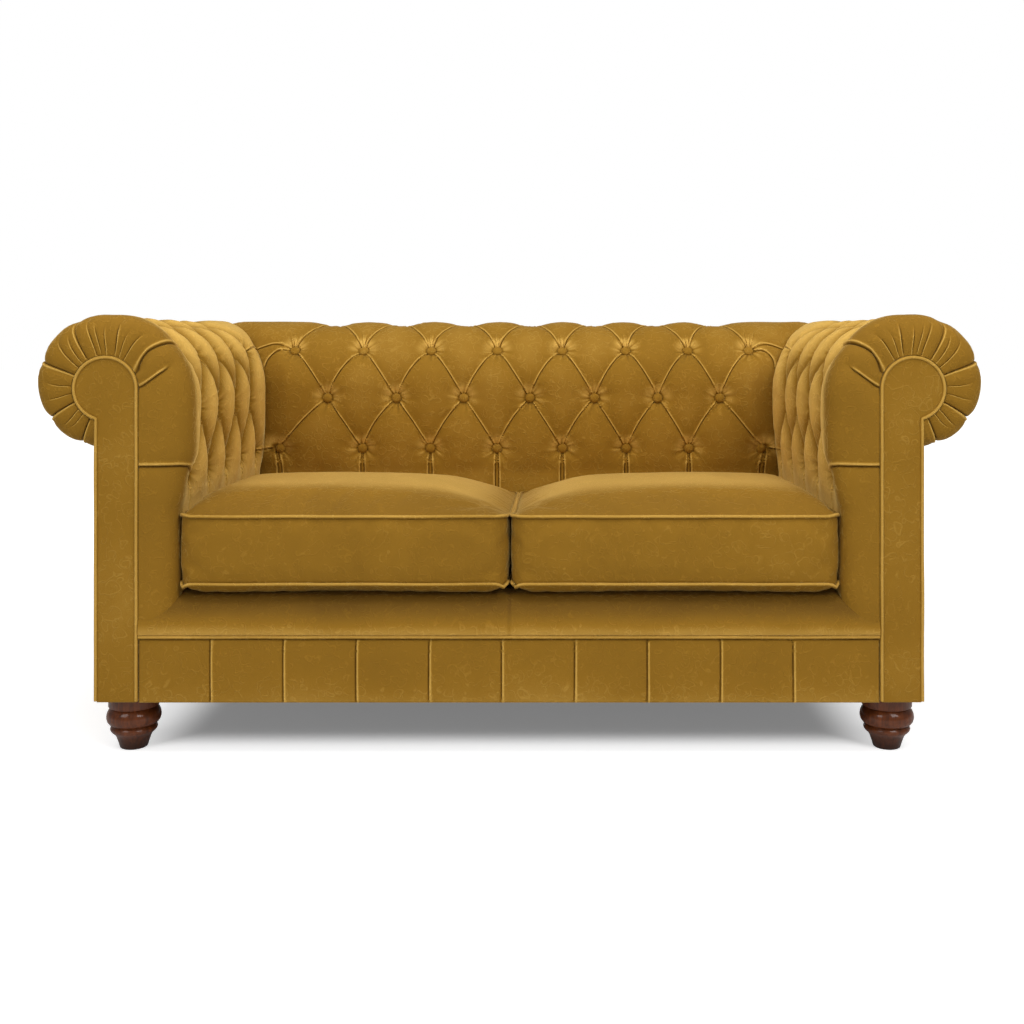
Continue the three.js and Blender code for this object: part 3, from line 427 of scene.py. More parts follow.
def triangulated(boundary, fine, step=BASE_STEP):
    """Points and triangles of a flat cover: its edge, its fine points, and a plain grid between."""
    kept = np.asarray(boundary, float)
    base = base_grid(kept.min(0), kept.max(0), step)
    for points, cell, gap in ((fine, FINE_CELL, FINE_GAP), (base, step / 9, step / 2)):
        points = thinned(points, cell)
        points = points[inside_polygon(points, boundary)]
        kept = np.vstack([kept, clear_of(points, kept, gap)])
    count = len(boundary)
    edges = [(i, (i + 1) % count) for i in range(count)]
    verts, _, faces, *_ = delaunay_2d_cdt([Vector(p) for p in kept], edges, [], 0, 1e-7)
    verts, faces = np.array([v[:] for v in verts]), np.array(faces)
    faces = faces[inside_polygon(verts[faces].mean(1), boundary)]
    used, faces = np.unique(faces, return_inverse=True)
    return verts[used], faces.reshape(-1, 3)


# ---------------------------------------------------------------- meshes
def placed(name, data):
    obj = bpy.data.objects.new(name, data)
    bpy.context.scene.collection.objects.link(obj)
    return obj


def piece(name, vertices, faces, slot, body, *nodes, painted_shading=None, sharp=70):
    """A new piece in a slot's material, which rides on a body and stands for any nodes given.

    The light and shade painted into its colour is given for its first vertices, and is 0 for the
    rest.
    """
    mesh = bpy.data.meshes.new(name)
    mesh.from_pydata([tuple(v) for v in vertices], [], [tuple(f) for f in faces])
    mesh.update()
    if painted_shading is not None:
        values = np.zeros(len(vertices), np.float32)
        values[:len(painted_shading)] = painted_shading
        mesh.attributes.new("painted_shading", "FLOAT", "POINT").data.foreach_set("value", values)
    mesh.polygons.foreach_set("use_smooth", np.ones(len(mesh.polygons), bool))
    mesh.set_sharp_from_angle(angle=math.radians(sharp))
    mesh.materials.append(MATERIALS[slot])
    obj = placed(name, mesh)
    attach(obj, body)
    if nodes:
        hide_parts(*nodes)
    return obj


def boundary_edges(faces):
    edges = {}
    for a, b, c in faces:
        for edge in ((a, b), (b, c), (c, a)):
            if edge[::-1] in edges:
                del edges[edge[::-1]]
            else:
                edges[edge] = True
    return list(edges)


def closed_shell(outer, inner, faces):
    """Vertices and faces of the body between an outer face and an inner one, joined at the edge."""
    count = len(outer)
    rim = [(b, a, a + count, b + count) for a, b in boundary_edges(faces.tolist())]
    back = [(c + count, b + count, a + count) for a, b, c in faces.tolist()]
    return np.vstack([outer, inner]), faces.tolist() + back + rim


# ---------------------------------------------------------------- materials
class Graph:
    """The nodes of a material or of the world. An input's name has _ for each space."""

    def __init__(self, owner):
        owner.use_nodes = True
        self.nodes, self.links = owner.node_tree.nodes, owner.node_tree.links

    def feed(self, socket, value):
        """Gives a socket a number, a vector or a colour, or links another node's output to it."""
        if isinstance(value, bpy.types.NodeSocket):
            self.links.new(value, socket)
        elif socket.type == "RGBA":
            socket.default_value = (*value, 1)
        else:
            socket.default_value = value

    def add(self, kind, *inputs, output=0, **values):
        """Adds a node, fills its first inputs and its named ones, and returns one output."""
        node = self.nodes.new("ShaderNode" + kind)
        for key, value in values.items():
            name = key.replace("_", " ")
            if name in node.inputs:
                self.feed(node.inputs[name], value)
            else:
                setattr(node, key, value)
        for socket, value in zip(node.inputs, inputs):
            self.feed(socket, value)
        return node.outputs[output]

    def place(self):
        return self.add("TexCoord", output="Object")

    def maths(self, operation, *values):
        return self.add("Math", *values, operation=operation)

    def ranged(self, value, low, high, to_low=0.0, to_high=1.0, **settings):
        return self.add("MapRange", value, low, high, to_low, to_high, **settings)

    def mix(self, factor, first, second, blend="MIX"):
        """A mix of two colours: the node's inputs 6 and 7, and its output 2."""
        node = self.nodes.new("ShaderNodeMix")
        node.data_type, node.blend_type = "RGBA", blend
        for index, value in ((0, factor), (6, first), (7, second)):
            self.feed(node.inputs[index], value)
        return node.outputs[2]

    def shade(self, **values):
        """Sets the inputs of the material's own shader."""
        for key, value in values.items():
            self.feed(self.nodes["Principled BSDF"].inputs[key.replace("_", " ")], value)


VELVET = (0.246, 0.122, 0.0090)
# The velvet's lighter and darker ends, reached by its random patches, strokes and grain, and by the
# light and shade painted by each piece.
VELVET_LIGHT = (0.66, 0.40, 0.088)
VELVET_DARK = (0.060, 0.027, 0.002)
VELVET_SHEEN = (1.0, 0.72, 0.26)
STROKE_NAP = 0.15
STAIN_DARK = (0.012, 0.0036, 0.0014)
STAIN_RED = (0.165, 0.040, 0.0070)
STAIN_CLOUD = (0.45, 0.35, 0.32)
BEECH_DARK = (0.50, 0.31, 0.15)
BEECH_LIGHT = (0.60, 0.40, 0.20)
BEECH_FLECK = (0.62, 0.5, 0.4)
THREAD_STRETCH = 0.15
METAL_WEAR = 0.6  # of the metal's colour where it is dull


def velvet(graph):
    """Short pile: large patches of brushed pile, short curved strokes, the pile's own grain, and
    the light and shade painted by each piece.
    """
    place = graph.place()

    def strokes(scale, radius, width):
        """Thin loops and hooks: rings round scattered points, bent and broken."""
        bend = graph.add("TexNoise", place, Scale=scale * 0.7, Detail=1.0, output="Color")
        bent = graph.add("VectorMath", bend, (1.3 / scale,) * 3, place, operation="MULTIPLY_ADD")
        distance = graph.add("TexVoronoi", bent, Scale=scale, output="Distance")
        ring = graph.maths("ABSOLUTE", graph.maths("SUBTRACT", distance, radius))
        breaks = graph.add("TexNoise", place, Scale=scale * 2.0, Detail=0.0)
        return graph.maths("MULTIPLY", graph.ranged(ring, 0.0, width, 1.0, 0.0),
                           graph.ranged(breaks, 0.34, 0.52))

    patches = graph.add("TexNoise", place, Scale=6.0, Detail=3.0, Roughness=0.5, Distortion=0.5)
    grain = graph.add("TexNoise", place, Scale=1100.0, Detail=2.0)
    stroke = graph.maths("MAXIMUM", strokes(52.0, 0.40, 0.065), strokes(36.0, 0.44, 0.045))
    # Light and shade painted into the colour, as each piece gives it.
    painted_shading = graph.add("Attribute", attribute_name="painted_shading", output="Fac")
    tone = graph.maths("ADD", graph.ranged(patches, 0.3, 0.7, -0.08, 0.08), painted_shading)
    tone = graph.maths("ADD", tone, graph.maths("MULTIPLY", stroke, STROKE_NAP))
    tone = graph.maths("ADD", tone, graph.ranged(grain, 0.3, 0.7, -0.09, 0.09))
    lighter = graph.mix(graph.ranged(tone, 0.0, 1.0), VELVET, VELVET_LIGHT)
    colour = graph.mix(graph.ranged(tone, 0.0, -1.0), lighter, VELVET_DARK)
    pile = graph.add("Bump", Strength=0.3, Distance=0.0006, Height=grain)
    brushed = graph.add("Bump", Strength=0.5, Distance=0.0012, Height=stroke, Normal=pile)
    graph.shade(Base_Color=colour, Roughness=0.85, Specular_IOR_Level=0.15, Sheen_Weight=0.55,
                Sheen_Roughness=0.30, Sheen_Tint=VELVET_SHEEN, Normal=brushed)


def stained_wood(graph):
    """Red-brown stain under a glossy lacquer, painted dark where the turning is thin, as shade in
    its hollows.
    """
    place = graph.place()
    lengthwise = graph.add("Mapping", place, Scale=(1.0, 1.0, 0.12))
    grain = graph.add("TexNoise", lengthwise, Scale=160.0, Detail=4.0, Distortion=0.8)
    cloud = graph.add("TexNoise", place, Scale=22.0, Detail=2.0)
    # Painted shade: the stain darkens where the turning's radius is small.
    unshaded_share = graph.add("Attribute", attribute_name="painted_shading", output="Fac")
    shown = graph.maths("MULTIPLY", graph.ranged(grain, 0.3, 0.7, 0.35, 1.0), unshaded_share)
    colour = graph.mix(shown, STAIN_DARK, STAIN_RED)
    colour = graph.mix(graph.ranged(cloud, 0.3, 0.7, 0.0, 0.4), colour, STAIN_CLOUD, "MULTIPLY")
    bump = graph.add("Bump", Strength=0.15, Distance=0.0004, Height=grain)
    graph.shade(Base_Color=colour, Roughness=0.45, Specular_IOR_Level=0.12, Coat_Weight=0.40,
                Coat_Roughness=0.07, Normal=bump)


def planed_beech(graph):
    place = graph.place()
    rings = graph.add("TexWave", place, Scale=9.0, Distortion=6.0, Detail=3.0,
                      bands_direction="Z", output=1)
    flecks = graph.add("TexNoise", place, Scale=320.0, Detail=2.0)
    colour = graph.mix(rings, BEECH_DARK, BEECH_LIGHT)
    colour = graph.mix(graph.ranged(flecks, 0.5, 0.75, 0.0, 0.6), colour, BEECH_FLECK, "MULTIPLY")
    graph.shade(Base_Color=colour, Roughness=0.62)


def woven(light, dark, pitch):
    """Cloth of uneven threads, about a pitch thick, that run each way."""
    def build(graph):
        place = graph.place()
        weave = 0.0
        for axis in range(3):
            scale = tuple(1.0 if i == axis else THREAD_STRETCH for i in range(3))
            lengthwise = graph.add("Mapping", place, Scale=scale)
            threads = graph.add("TexNoise", lengthwise, Scale=0.6 / pitch, Detail=1.0)
            weave = graph.maths("ADD", threads, weave)
        weave = graph.ranged(weave, 1.15, 1.85)
        bump = graph.add("Bump", Strength=0.4, Distance=pitch / 3, Height=weave)
        graph.shade(Base_Color=graph.mix(weave, dark, light), Roughness=0.9, Normal=bump)
    return build


def metal(colour, roughness):
    def build(graph):
        wear = graph.add("TexNoise", graph.place(), Scale=400.0, Detail=4.0, Distortion=0.5)
        dull = tuple(METAL_WEAR * c for c in colour)
        graph.shade(Base_Color=graph.mix(wear, dull, colour), Metallic=1.0,
                    Roughness=graph.ranged(wear, 0.3, 0.7, roughness * 0.8, roughness * 1.3))
    return build


def new_material(name, build):
    material = bpy.data.materials.new(name)
    build(Graph(material))
    return material


MATERIALS = {slot: new_material(name, build) for slot, name, build in (
    ("velvet", "velvet", velvet),
    ("leg_wood", "stained_wood", stained_wood),
    ("frame_wood", "planed_beech", planed_beech),
    ("platform_cloth", "platform_cloth", woven((0.19, 0.105, 0.02), (0.09, 0.05, 0.01), 0.0012)),
    ("hessian", "hessian", woven((0.45, 0.33, 0.18), (0.20, 0.14, 0.07), 0.0024)),
    ("dust_cloth", "dust_cloth", woven((0.018, 0.018, 0.018), (0.006, 0.006, 0.006), 0.0010)),
    ("spring_steel", "spring_steel", metal((0.30, 0.30, 0.32), 0.45)),
    ("zinc_steel", "zinc_steel", metal((0.62, 0.62, 0.60), 0.35)),
    ("zip_brass", "zip_brass", metal((0.60, 0.41, 0.15), 0.35)),
)}


# ---------------------------------------------------------------- deep-buttoned pads
FOLD_TRIM = 0.010  # of a fold between two buttons, at each end
FOLD_START = 0.011  # of any other fold, from the middle of its button
RISING_BOW, FALLING_BOW, BOW_DRIFT = 0.009, 0.003, 0.002
# Short folds that fan out above the third row: lean from upright, and reach.
CROWN_FAN = ((-0.45, 0.030), (-0.15, 0.044), (0.12, 0.036), (0.42, 0.042))


def lattice(columns, pitch, form):
    """Folds between the buttons of each row and the nearest ones of the next row."""
    rng = np.random.default_rng(3)
    pleats = []
    for row in range(len(ROWS) - 1):
        for low in columns(row):
            for high in columns(row + 1):
                if abs(abs(high - low) - pitch / 2) > pitch / 4:
                    continue
                ends = sorted([(low, ROWS[row]), (high, ROWS[row + 1])])
                rising = ends[0][1] < ends[1][1]
                bow = RISING_BOW if rising else FALLING_BOW
                bow += rng.uniform(-BOW_DRIFT, BOW_DRIFT)
                pleats.append(Pleat(bowed(*ends, bow, (FOLD_TRIM, FOLD_TRIM)), size=0.0027,
                                    valley=form["valley"], spread=form["spread"]))
    return pleats


def upright_pleats(columns, foot, end):
    """Pairs of folds under the lowest buttons, fans above the third row, folds over the roll."""
    pleats = []
    for u in columns(0):
        for side in (-1, 1):
            path = [(u + side * 0.003, ROWS[0] - FOLD_START), (u + side * 0.005, ROWS[0] - 0.05),
                    (u + side * 0.0045, foot)]
            pleats.append(Pleat(path, size=0.0030, valley=0.005, spread=0.014, side=side))
    for u in columns(2):
        for lean, reach in CROWN_FAN:
            start = ROWS[2] + FOLD_START
            path = [(u + FOLD_START * lean, start), (u + reach * lean, start + reach)]
            pleats.append(Pleat(path, size=0.0020, valley=0.001, fades=(0.0, 0.8),
                                side=-1 if lean < 0 else 1))
    for u in columns(3):
        path = [(u, ROWS[3] + FOLD_START), (u, end - 0.01)]
        pleats.append(Pleat(path, size=0.0036, valley=0.004))
    return pleats


def columns_of(start, pitch, count):
    return lambda row: [start + (i + (row % 2) / 2) * pitch for i in range(count - row % 2)]


def back_columns(row):
    columns = columns_of(-END_BUTTON_X, BACK_PITCH, BACK_BUTTONS)(row)
    if row == 0:
        columns[0] -= CORNER_SHIFT
        columns[-1] += CORNER_SHIFT
    return [u + HAND_DRIFT * (1 - (u / HALF_BACK) ** 2) for u in columns]


arm_columns = columns_of(FIRST_ARM_Y, ARM_PITCH, ARM_BUTTONS)


def button_places(columns):
    return np.array([(u, ROWS[row]) for row in range(len(ROWS)) for u in columns(row)])


def fine_points(pleats, buttons):
    return np.vstack([pleat.samples() for pleat in pleats] + [ring_points(buttons)])


def cover_relief(points, pleats, buttons, clear, seed, form, plain=0.0):
    """Height of the cover over the full form of the pad, and the light and shade painted on it.

    Painted shade darkens the hollows and painted light brightens the cover between them, but not on
    the plain share of the cover.
    clear is 0 in the corner of the sofa and 1 away from it.
    """
    count = len(points)
    height, folds, valley, painted_shading = np.zeros(count), np.zeros(count), np.zeros(count), np.zeros(count)
    for pleat in pleats:
        pleat.add_to(points, folds, valley, painted_shading)
    button_relief(points, buttons, height, valley, painted_shading, seed, form)
    slow = np.array([noise.noise((u * UNEVEN_SCALE, v * UNEVEN_SCALE, seed)) for u, v in points])
    hollow = valley ** (1 / BLEND_POWER)
    height += BULGE + UNEVENNESS * slow - hollow
    # Painted shade in the hollows, and painted light on the cover between them.
    painted_shading += form["shade"] * (form["open"] - hollow / form["valley"]) * clear * (1 - plain)
    height = height * clear - MITRE_VALLEY * (1 - clear) + folds
    return height, np.clip(painted_shading, -SHADING_LIMIT, SHADING_LIMIT)


def nose_height(y):
    """Height of the padded nose at a place behind its front."""
    share = np.clip((NOSE_Y + NOSE_RUN - y) / NOSE_RUN, 0, 1)
    return NOSE_SHOULDER + NOSE_RISE * np.sqrt(1 - share ** 2)


def back_pad():
    reach = lambda v: ARM_AXIS_X - section_at(v)[0] - FIT
    foot = length_at_height(PLATFORM_Z + 2 * FIT)
    rise = np.linspace(foot, END_V, 150)
    right = np.stack([reach(rise), rise], 1)
    top = np.stack([np.linspace(reach(END_V), -reach(END_V), 240)[1:-1], np.full(238, END_V)], 1)
    left = np.stack([-reach(rise), rise], 1)[::-1]
    bottom = np.stack([np.linspace(-reach(foot), reach(foot), 180)[1:-1], np.full(178, foot)], 1)
    boundary = np.vstack([right, top, left, bottom])

    pleats = lattice(back_columns, BACK_PITCH, BACK_FORM)
    pleats += upright_pleats(back_columns, foot, END_V)
    for side in (-1, 1):
        for row, height, bow in BACK_CORNER_FOLDS:
            end_v = length_at_height(height)
            button = (abs(back_columns(row)[-1 if side > 0 else 0]), ROWS[row])
            path = bowed(button, (reach(end_v) - CORNER_SETBACK, end_v), bow, (FOLD_TRIM, 0))
            if side < 0:
                path = (path * (-1, 1))[::-1]
            pleats.append(Pleat(path))
    buttons = button_places(back_columns)
    points, faces = triangulated(boundary, fine_points(pleats, buttons), BACK_STEP)

    u, v = points.T
    distance = ARM_AXIS_X - section_at(v)[0] - np.abs(u)
    clear = smoothstep(distance, 0, MITRE_BLEND)
    height, painted_shading = cover_relief(points, pleats, buttons, clear, 11, BACK_FORM)
    reach_at, z = section_at(v)
    normal = section_normal(v)
    p, z = reach_at + height * normal[0], z + height * normal[1]
    x = np.sign(u) * (np.abs(u) - (p - reach_at) * (1 - smoothstep(distance, FIT, MITRE_SHIFT)))
    outer = np.stack([x, BACK_AXIS_Y - p, z], 1)
    core_p, core_z = core_at(v)
    inner_x = u / reach(v) * (ARM_AXIS_X - core_p - FIT)
    inner = np.stack([inner_x, BACK_AXIS_Y - core_p, core_z], 1)
    pad = piece("buttoned_back", *closed_shell(outer, inner, faces), "velvet", "sofa_body",
                "back_pad", painted_shading=painted_shading)


def arm_depth(u):
    """How far behind the front a place on the arm's flat cover lies, and how far it has turned."""
    angle = np.clip(u / TURN_LENGTH, 0, 1) * math.pi / 2
    turned = ROUNDING * (1 - np.maximum(np.cos(angle), 0) ** TURN_SQUARENESS)
    depth = PAD_SETBACK + turned + np.maximum(u - TURN_LENGTH, 0)
    return depth, angle


def cover_place(depth):
    """The place on the flat cover of a depth behind the turned front."""
    return depth - PAD_SETBACK - ROUNDING + TURN_LENGTH


# Gathers round the head of each facing: angle in degrees at the facing and at the far end, u of
# the far end, and the size of the fold. The larger ones run on to the buttons.
GATHERS = ((157, 155, 0.125, 0.0042), (204, 206, 0.125, 0.0042), (243, 240, 0.120, 0.0040),
           (122, 115, 0.085, 0.0034), (142, 133, 0.060, 0.0022), (132, 124, 0.050, 0.0022),
           (104, 107, 0.066, 0.0024), (96, 101, 0.055, 0.0020), (88, 92, 0.048, 0.0024),
           (74, 79, 0.062, 0.0030), (66, 68, 0.040, 0.0022), (57, 56, 0.050, 0.0026),
           (176, 173, 0.045, 0.0018), (188, 190, 0.050, 0.0018), (218, 220, 0.050, 0.0022),
           (229, 226, 0.040, 0.0018))
LONG_GATHER = 0.0035  # size over which a gather runs on

# The two deep folds from the shoulder of the facing: u, and angle in degrees. The first runs on
# to the third row's first button. A belt of cloth under them runs to the lowest row's.
FIRST_FOLD = ((0.0, 28), (0.005, 35), (0.013, 40), (0.030, 43), (0.063, 40))
SECOND_FOLD = ((0.0, 3), (0.006, 8), (0.014, 12), (0.027, 16), (0.052, 20))
BELT_HEIGHT, BELT_START, BELT_BEND, BELT_DIP = 0.527, 0.060, 0.085, 0.003


def smoothed(path):
    """A finer path through the same places, without its corners."""
    path = resampled(path, 0.002)
    for _ in range(12):
        path[1:-1] = (path[:-2] + 2 * path[1:-1] + path[2:]) / 4
    return path


def front_pleats():
    """Folds of the arm's cover where it turns in to the facing."""
    pleats = []
    for angle, far, end, size in GATHERS:
        path = bowed((0.0, length_at_angle(angle)), (end, length_at_angle(far)), 0.004)
        fade = 0.25 if size > LONG_GATHER else 0.6
        pleats.append(Pleat(path, size=size, valley=1.4 * size, spread=0.012, fades=(0.0, fade),
                            side=1 if angle > 90 else -1))
    belt = length_at_height(BELT_HEIGHT)
    end = cover_place(FIRST_ARM_Y) - FOLD_TRIM
    path = [(0.0, belt), (BELT_START, belt), (BELT_BEND, belt - BELT_DIP), (end, ROWS[0])]
    pleats.append(Pleat(path, size=0.0046, valley=0.004))
    for fold, size, fade in ((FIRST_FOLD, 0.0050, 0.0), (SECOND_FOLD, 0.0044, 0.3)):
        path = [(u, length_at_angle(angle)) for u, angle in fold]
        if not fade:
            path.append((end, ROWS[2]))
        pleats.append(Pleat(smoothed(path), size=size, valley=0.005, fades=(0.0, fade)))
    return pleats


def mitre_foot(end_at, foot_at):
    """The place on the arm's cover where its foot reaches the mitre, found by halving."""
    low, high = 0.5, 1.0
    for _ in range(50):
        middle = (low + high) / 2
        if end_at(foot_at(middle)) > middle:
            low = middle
        else:
            high = middle
    return low


def arm_pad(side, seed):
    end_at = lambda v: cover_place(BACK_AXIS_Y - section_at(v)[0] - FIT - FRONT_Y)
    foot_at = lambda u: length_at_height(nose_height(FRONT_Y + arm_depth(u)[0]) + 2 * FIT)
    last = mitre_foot(end_at, foot_at)
    across = np.linspace(0, last, 130)
    bottom = np.stack([across, foot_at(across)], 1)
    rise = np.linspace(foot_at(last), END_V, 150)[1:]
    mitre = np.stack([end_at(rise), rise], 1)
    top = np.stack([np.linspace(end_at(END_V), 0, 150)[1:], np.full(149, END_V)], 1)
    front = np.stack([np.zeros(190), np.linspace(END_V, foot_at(0.0), 192)[1:-1]], 1)
    boundary = np.vstack([bottom, mitre, top, front])

    columns = lambda row: [cover_place(u) for u in arm_columns(row)]
    buttons = button_places(columns)
    foot = length_at_height(PLATFORM_Z)
    pleats = lattice(columns, ARM_PITCH, ARM_FORM) + upright_pleats(columns, foot, END_V)
    pleats += front_pleats()
    for row, height, bow in ARM_CORNER_FOLDS:
        end_v = length_at_height(height)
        button = (columns(row)[-1], ROWS[row])
        path = bowed(button, (end_at(end_v) - CORNER_SETBACK, end_v), bow, (FOLD_TRIM, 0))
        pleats.append(Pleat(path))
    points, faces = triangulated(boundary, fine_points(pleats, buttons))

    u, v = points.T
    depth, angle = arm_depth(u)
    reach_at, z = section_at(v)
    distance = BACK_AXIS_Y - reach_at - FRONT_Y - depth
    clear = smoothstep(distance, 0, MITRE_BLEND)
    plain = np.maximum(1 - smoothstep(u, *PLAIN_ENDS),
                       smoothstep(v, ROWS[3] - 0.03, ROWS[3] + 0.03))
    height, painted_shading = cover_relief(points, pleats, buttons, clear, seed, ARM_FORM, plain)
    # Painted shade on the plain front of the arm and over its roll.
    painted_shading -= PLAIN_SHADE * plain
    edge_p, edge_z = facing_edge(v)
    turned = np.sin(angle) ** TURN_SQUARENESS
    normal = section_normal(v)
    roll = (np.clip(-normal[0], 0, 1) * smoothstep(u, *ROLL_SWELLS)
            * (1 - smoothstep(u, *ROLL_SHRINKS)))
    lobe = (np.clip(normal[0], 0, 1) * smoothstep(u, *LOBE_SWELLS)
            * (1 - smoothstep(u, *LOBE_SHRINKS)))
    height += FRONT_FULLNESS * roll + LOBE_FULLNESS * lobe * smoothstep(v, ROWS[0], ROWS[0] + 0.05)
    height *= smoothstep(u, -0.02, 0.012)
    p = edge_p + (reach_at - edge_p) * turned + height * normal[0] * turned
    z = edge_z + (z - edge_z) * turned + height * normal[1] * turned
    y = FRONT_Y + depth - height * np.cos(angle)
    y -= (p - reach_at) * (1 - smoothstep(distance, FIT, MITRE_SHIFT))
    outer = np.stack([p - ARM_AXIS_X, y, z], 1)
    core_p, core_z = core_at(v)
    board_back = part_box("arm_front_board_left")[1].y
    core_end = BACK_AXIS_Y - core_p - FIT
    inner_y = board_back + u / end_at(v) * (core_end - board_back)
    inner = np.stack([core_p - ARM_AXIS_X, inner_y, core_z], 1)
    if side > 0:
        outer, inner, faces = outer * (-1, 1, 1), inner * (-1, 1, 1), faces[:, ::-1]
    name = "right" if side > 0 else "left"
    pad = piece(f"buttoned_arm_{name}", *closed_shell(outer, inner, faces), "velvet", "sofa_body",
                f"arm_pad_{name}", painted_shading=painted_shading)


# ---------------------------------------------------------------- turned shapes, buttons, tubes
def lathe(profile, sides, centre, direction):
    """Vertices and faces of a profile of (radius, height) turned about a direction."""
    turn = Vector((0, 0, 1)).rotation_difference(Vector(direction)).to_matrix()
    vertices, faces, rings = [], [], []
    for radius, height in profile:
        count = 1 if radius < 1e-6 else sides
        ring = []
        for i in range(count):
            angle = 2 * math.pi * i / sides
            local = Vector((radius * math.cos(angle), radius * math.sin(angle), height))
            ring.append(len(vertices))
            vertices.append(Vector(centre) + turn @ local)
        rings.append(ring)
    for low, high in zip(rings, rings[1:]):
        for i in range(sides):
            j = (i + 1) % sides
            if len(low) == 1:
                faces.append((low[0], high[j], high[i]))
            elif len(high) == 1:
                faces.append((low[i], low[j], high[0]))
            else:
                faces.append((low[i], low[j], high[j], high[i]))
    return vertices, faces


def joined(parts):
    vertices, faces = [], []
    for part_vertices, part_faces in parts:
        start = len(vertices)
        vertices += list(part_vertices)
        faces += [tuple(i + start for i in face) for face in part_faces]
    return vertices, faces


def button_profile():
    dome = [(0.0, 0.0), (BUTTON_RADIUS * 0.9, 0.0), (BUTTON_RADIUS, BUTTON_RIM)]
    for share in np.linspace(0.15, 1, 8):
        angle = share * math.pi / 2
        dome.append((BUTTON_RADIUS * math.cos(angle),
                     BUTTON_RIM + (BUTTON_HEIGHT - BUTTON_RIM) * math.sin(angle) ** 0.8))
    dome[-1] = (0.0, BUTTON_HEIGHT)
    return dome


TWINE_PROFILE = ((0.0, 0.0), (TWINE_RADIUS, 0.0), (TWINE_RADIUS, 1.0), (0.0, 1.0))


def seat_depth(form):
    """How far below the full form a button's base sits: just under the cloth at its rim."""
    pit = PIT_DEPTH * math.exp(-(BUTTON_RADIUS / form["pit"]) ** PIT_POWER)
    folds = MEETING_FOLDS * form["valley"] ** BLEND_POWER
    return (pit ** BLEND_POWER + folds) ** (1 / BLEND_POWER) - BULGE + BUTTON_SINK


def tufting(columns, place, direction, name, node, form):
    """The buttons of one pad, each with the twine that ties it to the frame behind."""
    parts = []
    drop = seat_depth(form)
    for row in range(len(ROWS)):
        reach, height = (float(value) for value in section_at(ROWS[row]))
        normal = [float(value) for value in section_normal(ROWS[row])]
        core = [float(value) for value in core_at(ROWS[row])]
        base = (reach - drop * normal[0], height - drop * normal[1])
        length = math.hypot(base[0] - core[0], base[1] - core[1])
        for u in columns(row):
            where = Vector(place(u, *base))
            towards = Vector(direction(*normal))
            parts.append(lathe(button_profile(), 28, where, towards))
            twine = [(radius, -length * share) for radius, share in reversed(TWINE_PROFILE)]
            parts.append(lathe(twine, 6, where, towards))
    vertices, faces = joined(parts)
    if node.endswith("right"):
        vertices = [Vector((-v.x, v.y, v.z)) for v in vertices]
        faces = [face[::-1] for face in faces]
    piece(name, vertices, faces, "velvet", "sofa_body", node, sharp=50)


def all_tufting():
    tufting(back_columns, lambda u, p, z: (u, BACK_AXIS_Y - p, z), lambda a, b: (0, -a, b),
            "back_buttons", "back_tufting", BACK_FORM)
    for name in ("left", "right"):
        tufting(arm_columns, lambda u, p, z: (p - ARM_AXIS_X, FRONT_Y + u, z),
                lambda a, b: (a, 0, b), f"arm_buttons_{name}", f"arm_tufting_{name}", ARM_FORM)


TUBE_SIDES = 12
# Painted shade at the piping's seam, and painted light added where it faces out.
PIPING_SEAM_SHADE, PIPING_HIGHLIGHT = -0.45, 0.95


def tube(path, radius, closed=False, sides=TUBE_SIDES):
    """Vertices and faces of a round tube along a path, with flat ends unless it is closed."""
    path = [Vector(p) for p in path]
    count = len(path)
    vertices, faces = [], []
    side = None
    for i, point in enumerate(path):
        before = path[i - 1] if closed or i else path[0]
        after = path[(i + 1) % count] if closed or i + 1 < count else path[-1]
        along = (after - before).normalized()
        if side is None:
            side = along.orthogonal().normalized()
        side = (side - along * side.dot(along)).normalized()
        up = along.cross(side)
        for j in range(sides):
            angle = 2 * math.pi * j / sides
            vertices.append(point + radius * (math.cos(angle) * side + math.sin(angle) * up))
    for i in range(count if closed else count - 1):
        a, b = i * sides, ((i + 1) % count) * sides
        shift = 0
        if closed and i == count - 1:
            first = vertices[a]
            shift = min(range(sides), key=lambda k: (vertices[b + k] - first).length)
        for j in range(sides):
            k = (j + 1) % sides
            faces.append((a + j, a + k, b + (k + shift) % sides, b + (j + shift) % sides))
    if not closed:
        faces.append(tuple(reversed(range(sides))))
        faces.append(tuple(range((count - 1) * sides, count * sides)))
    return vertices, faces


def piped(name, loops, facing, body, *nodes, closed=False):
    """Piping along loops, with painted light where it faces out and painted shade in the seam."""
    vertices, faces = joined([tube(path, PIPING, closed) for path in loops])
    painted_shading = []
    for path in loops:
        for point in path:
            out = facing(point).normalized()
            ring = vertices[len(painted_shading):len(painted_shading) + TUBE_SIDES]
            painted_shading += [PIPING_SEAM_SHADE + PIPING_HIGHLIGHT * max(0.0, (v - point).dot(out) / PIPING) for v in ring]
    piece(name, vertices, faces, "velvet", body, *nodes, painted_shading=painted_shading)


def wavy(path, amount, seed, scale=9.0):
    """A path moved a little from side to side, as sewn by hand."""
    moved = []
    for p in path:
        where = Vector(p) * scale
        apart = ((seed, 0, 0), (0, seed, 0), (0, 0, seed))
        shift = Vector([noise.noise(where + Vector(offset)) for offset in apart])
        moved.append(Vector(p) + amount * shift)
    return moved


# ---------------------------------------------------------------- covered panels
EDGE_OFFSETS = (0.0005, 0.0013, 0.0026, 0.0045, 0.0075, 0.012, 0.020)
CROWN_WIDTH = 0.035
PANEL_UNEVENNESS, PANEL_UNEVEN_SCALE = 0.0008, 11


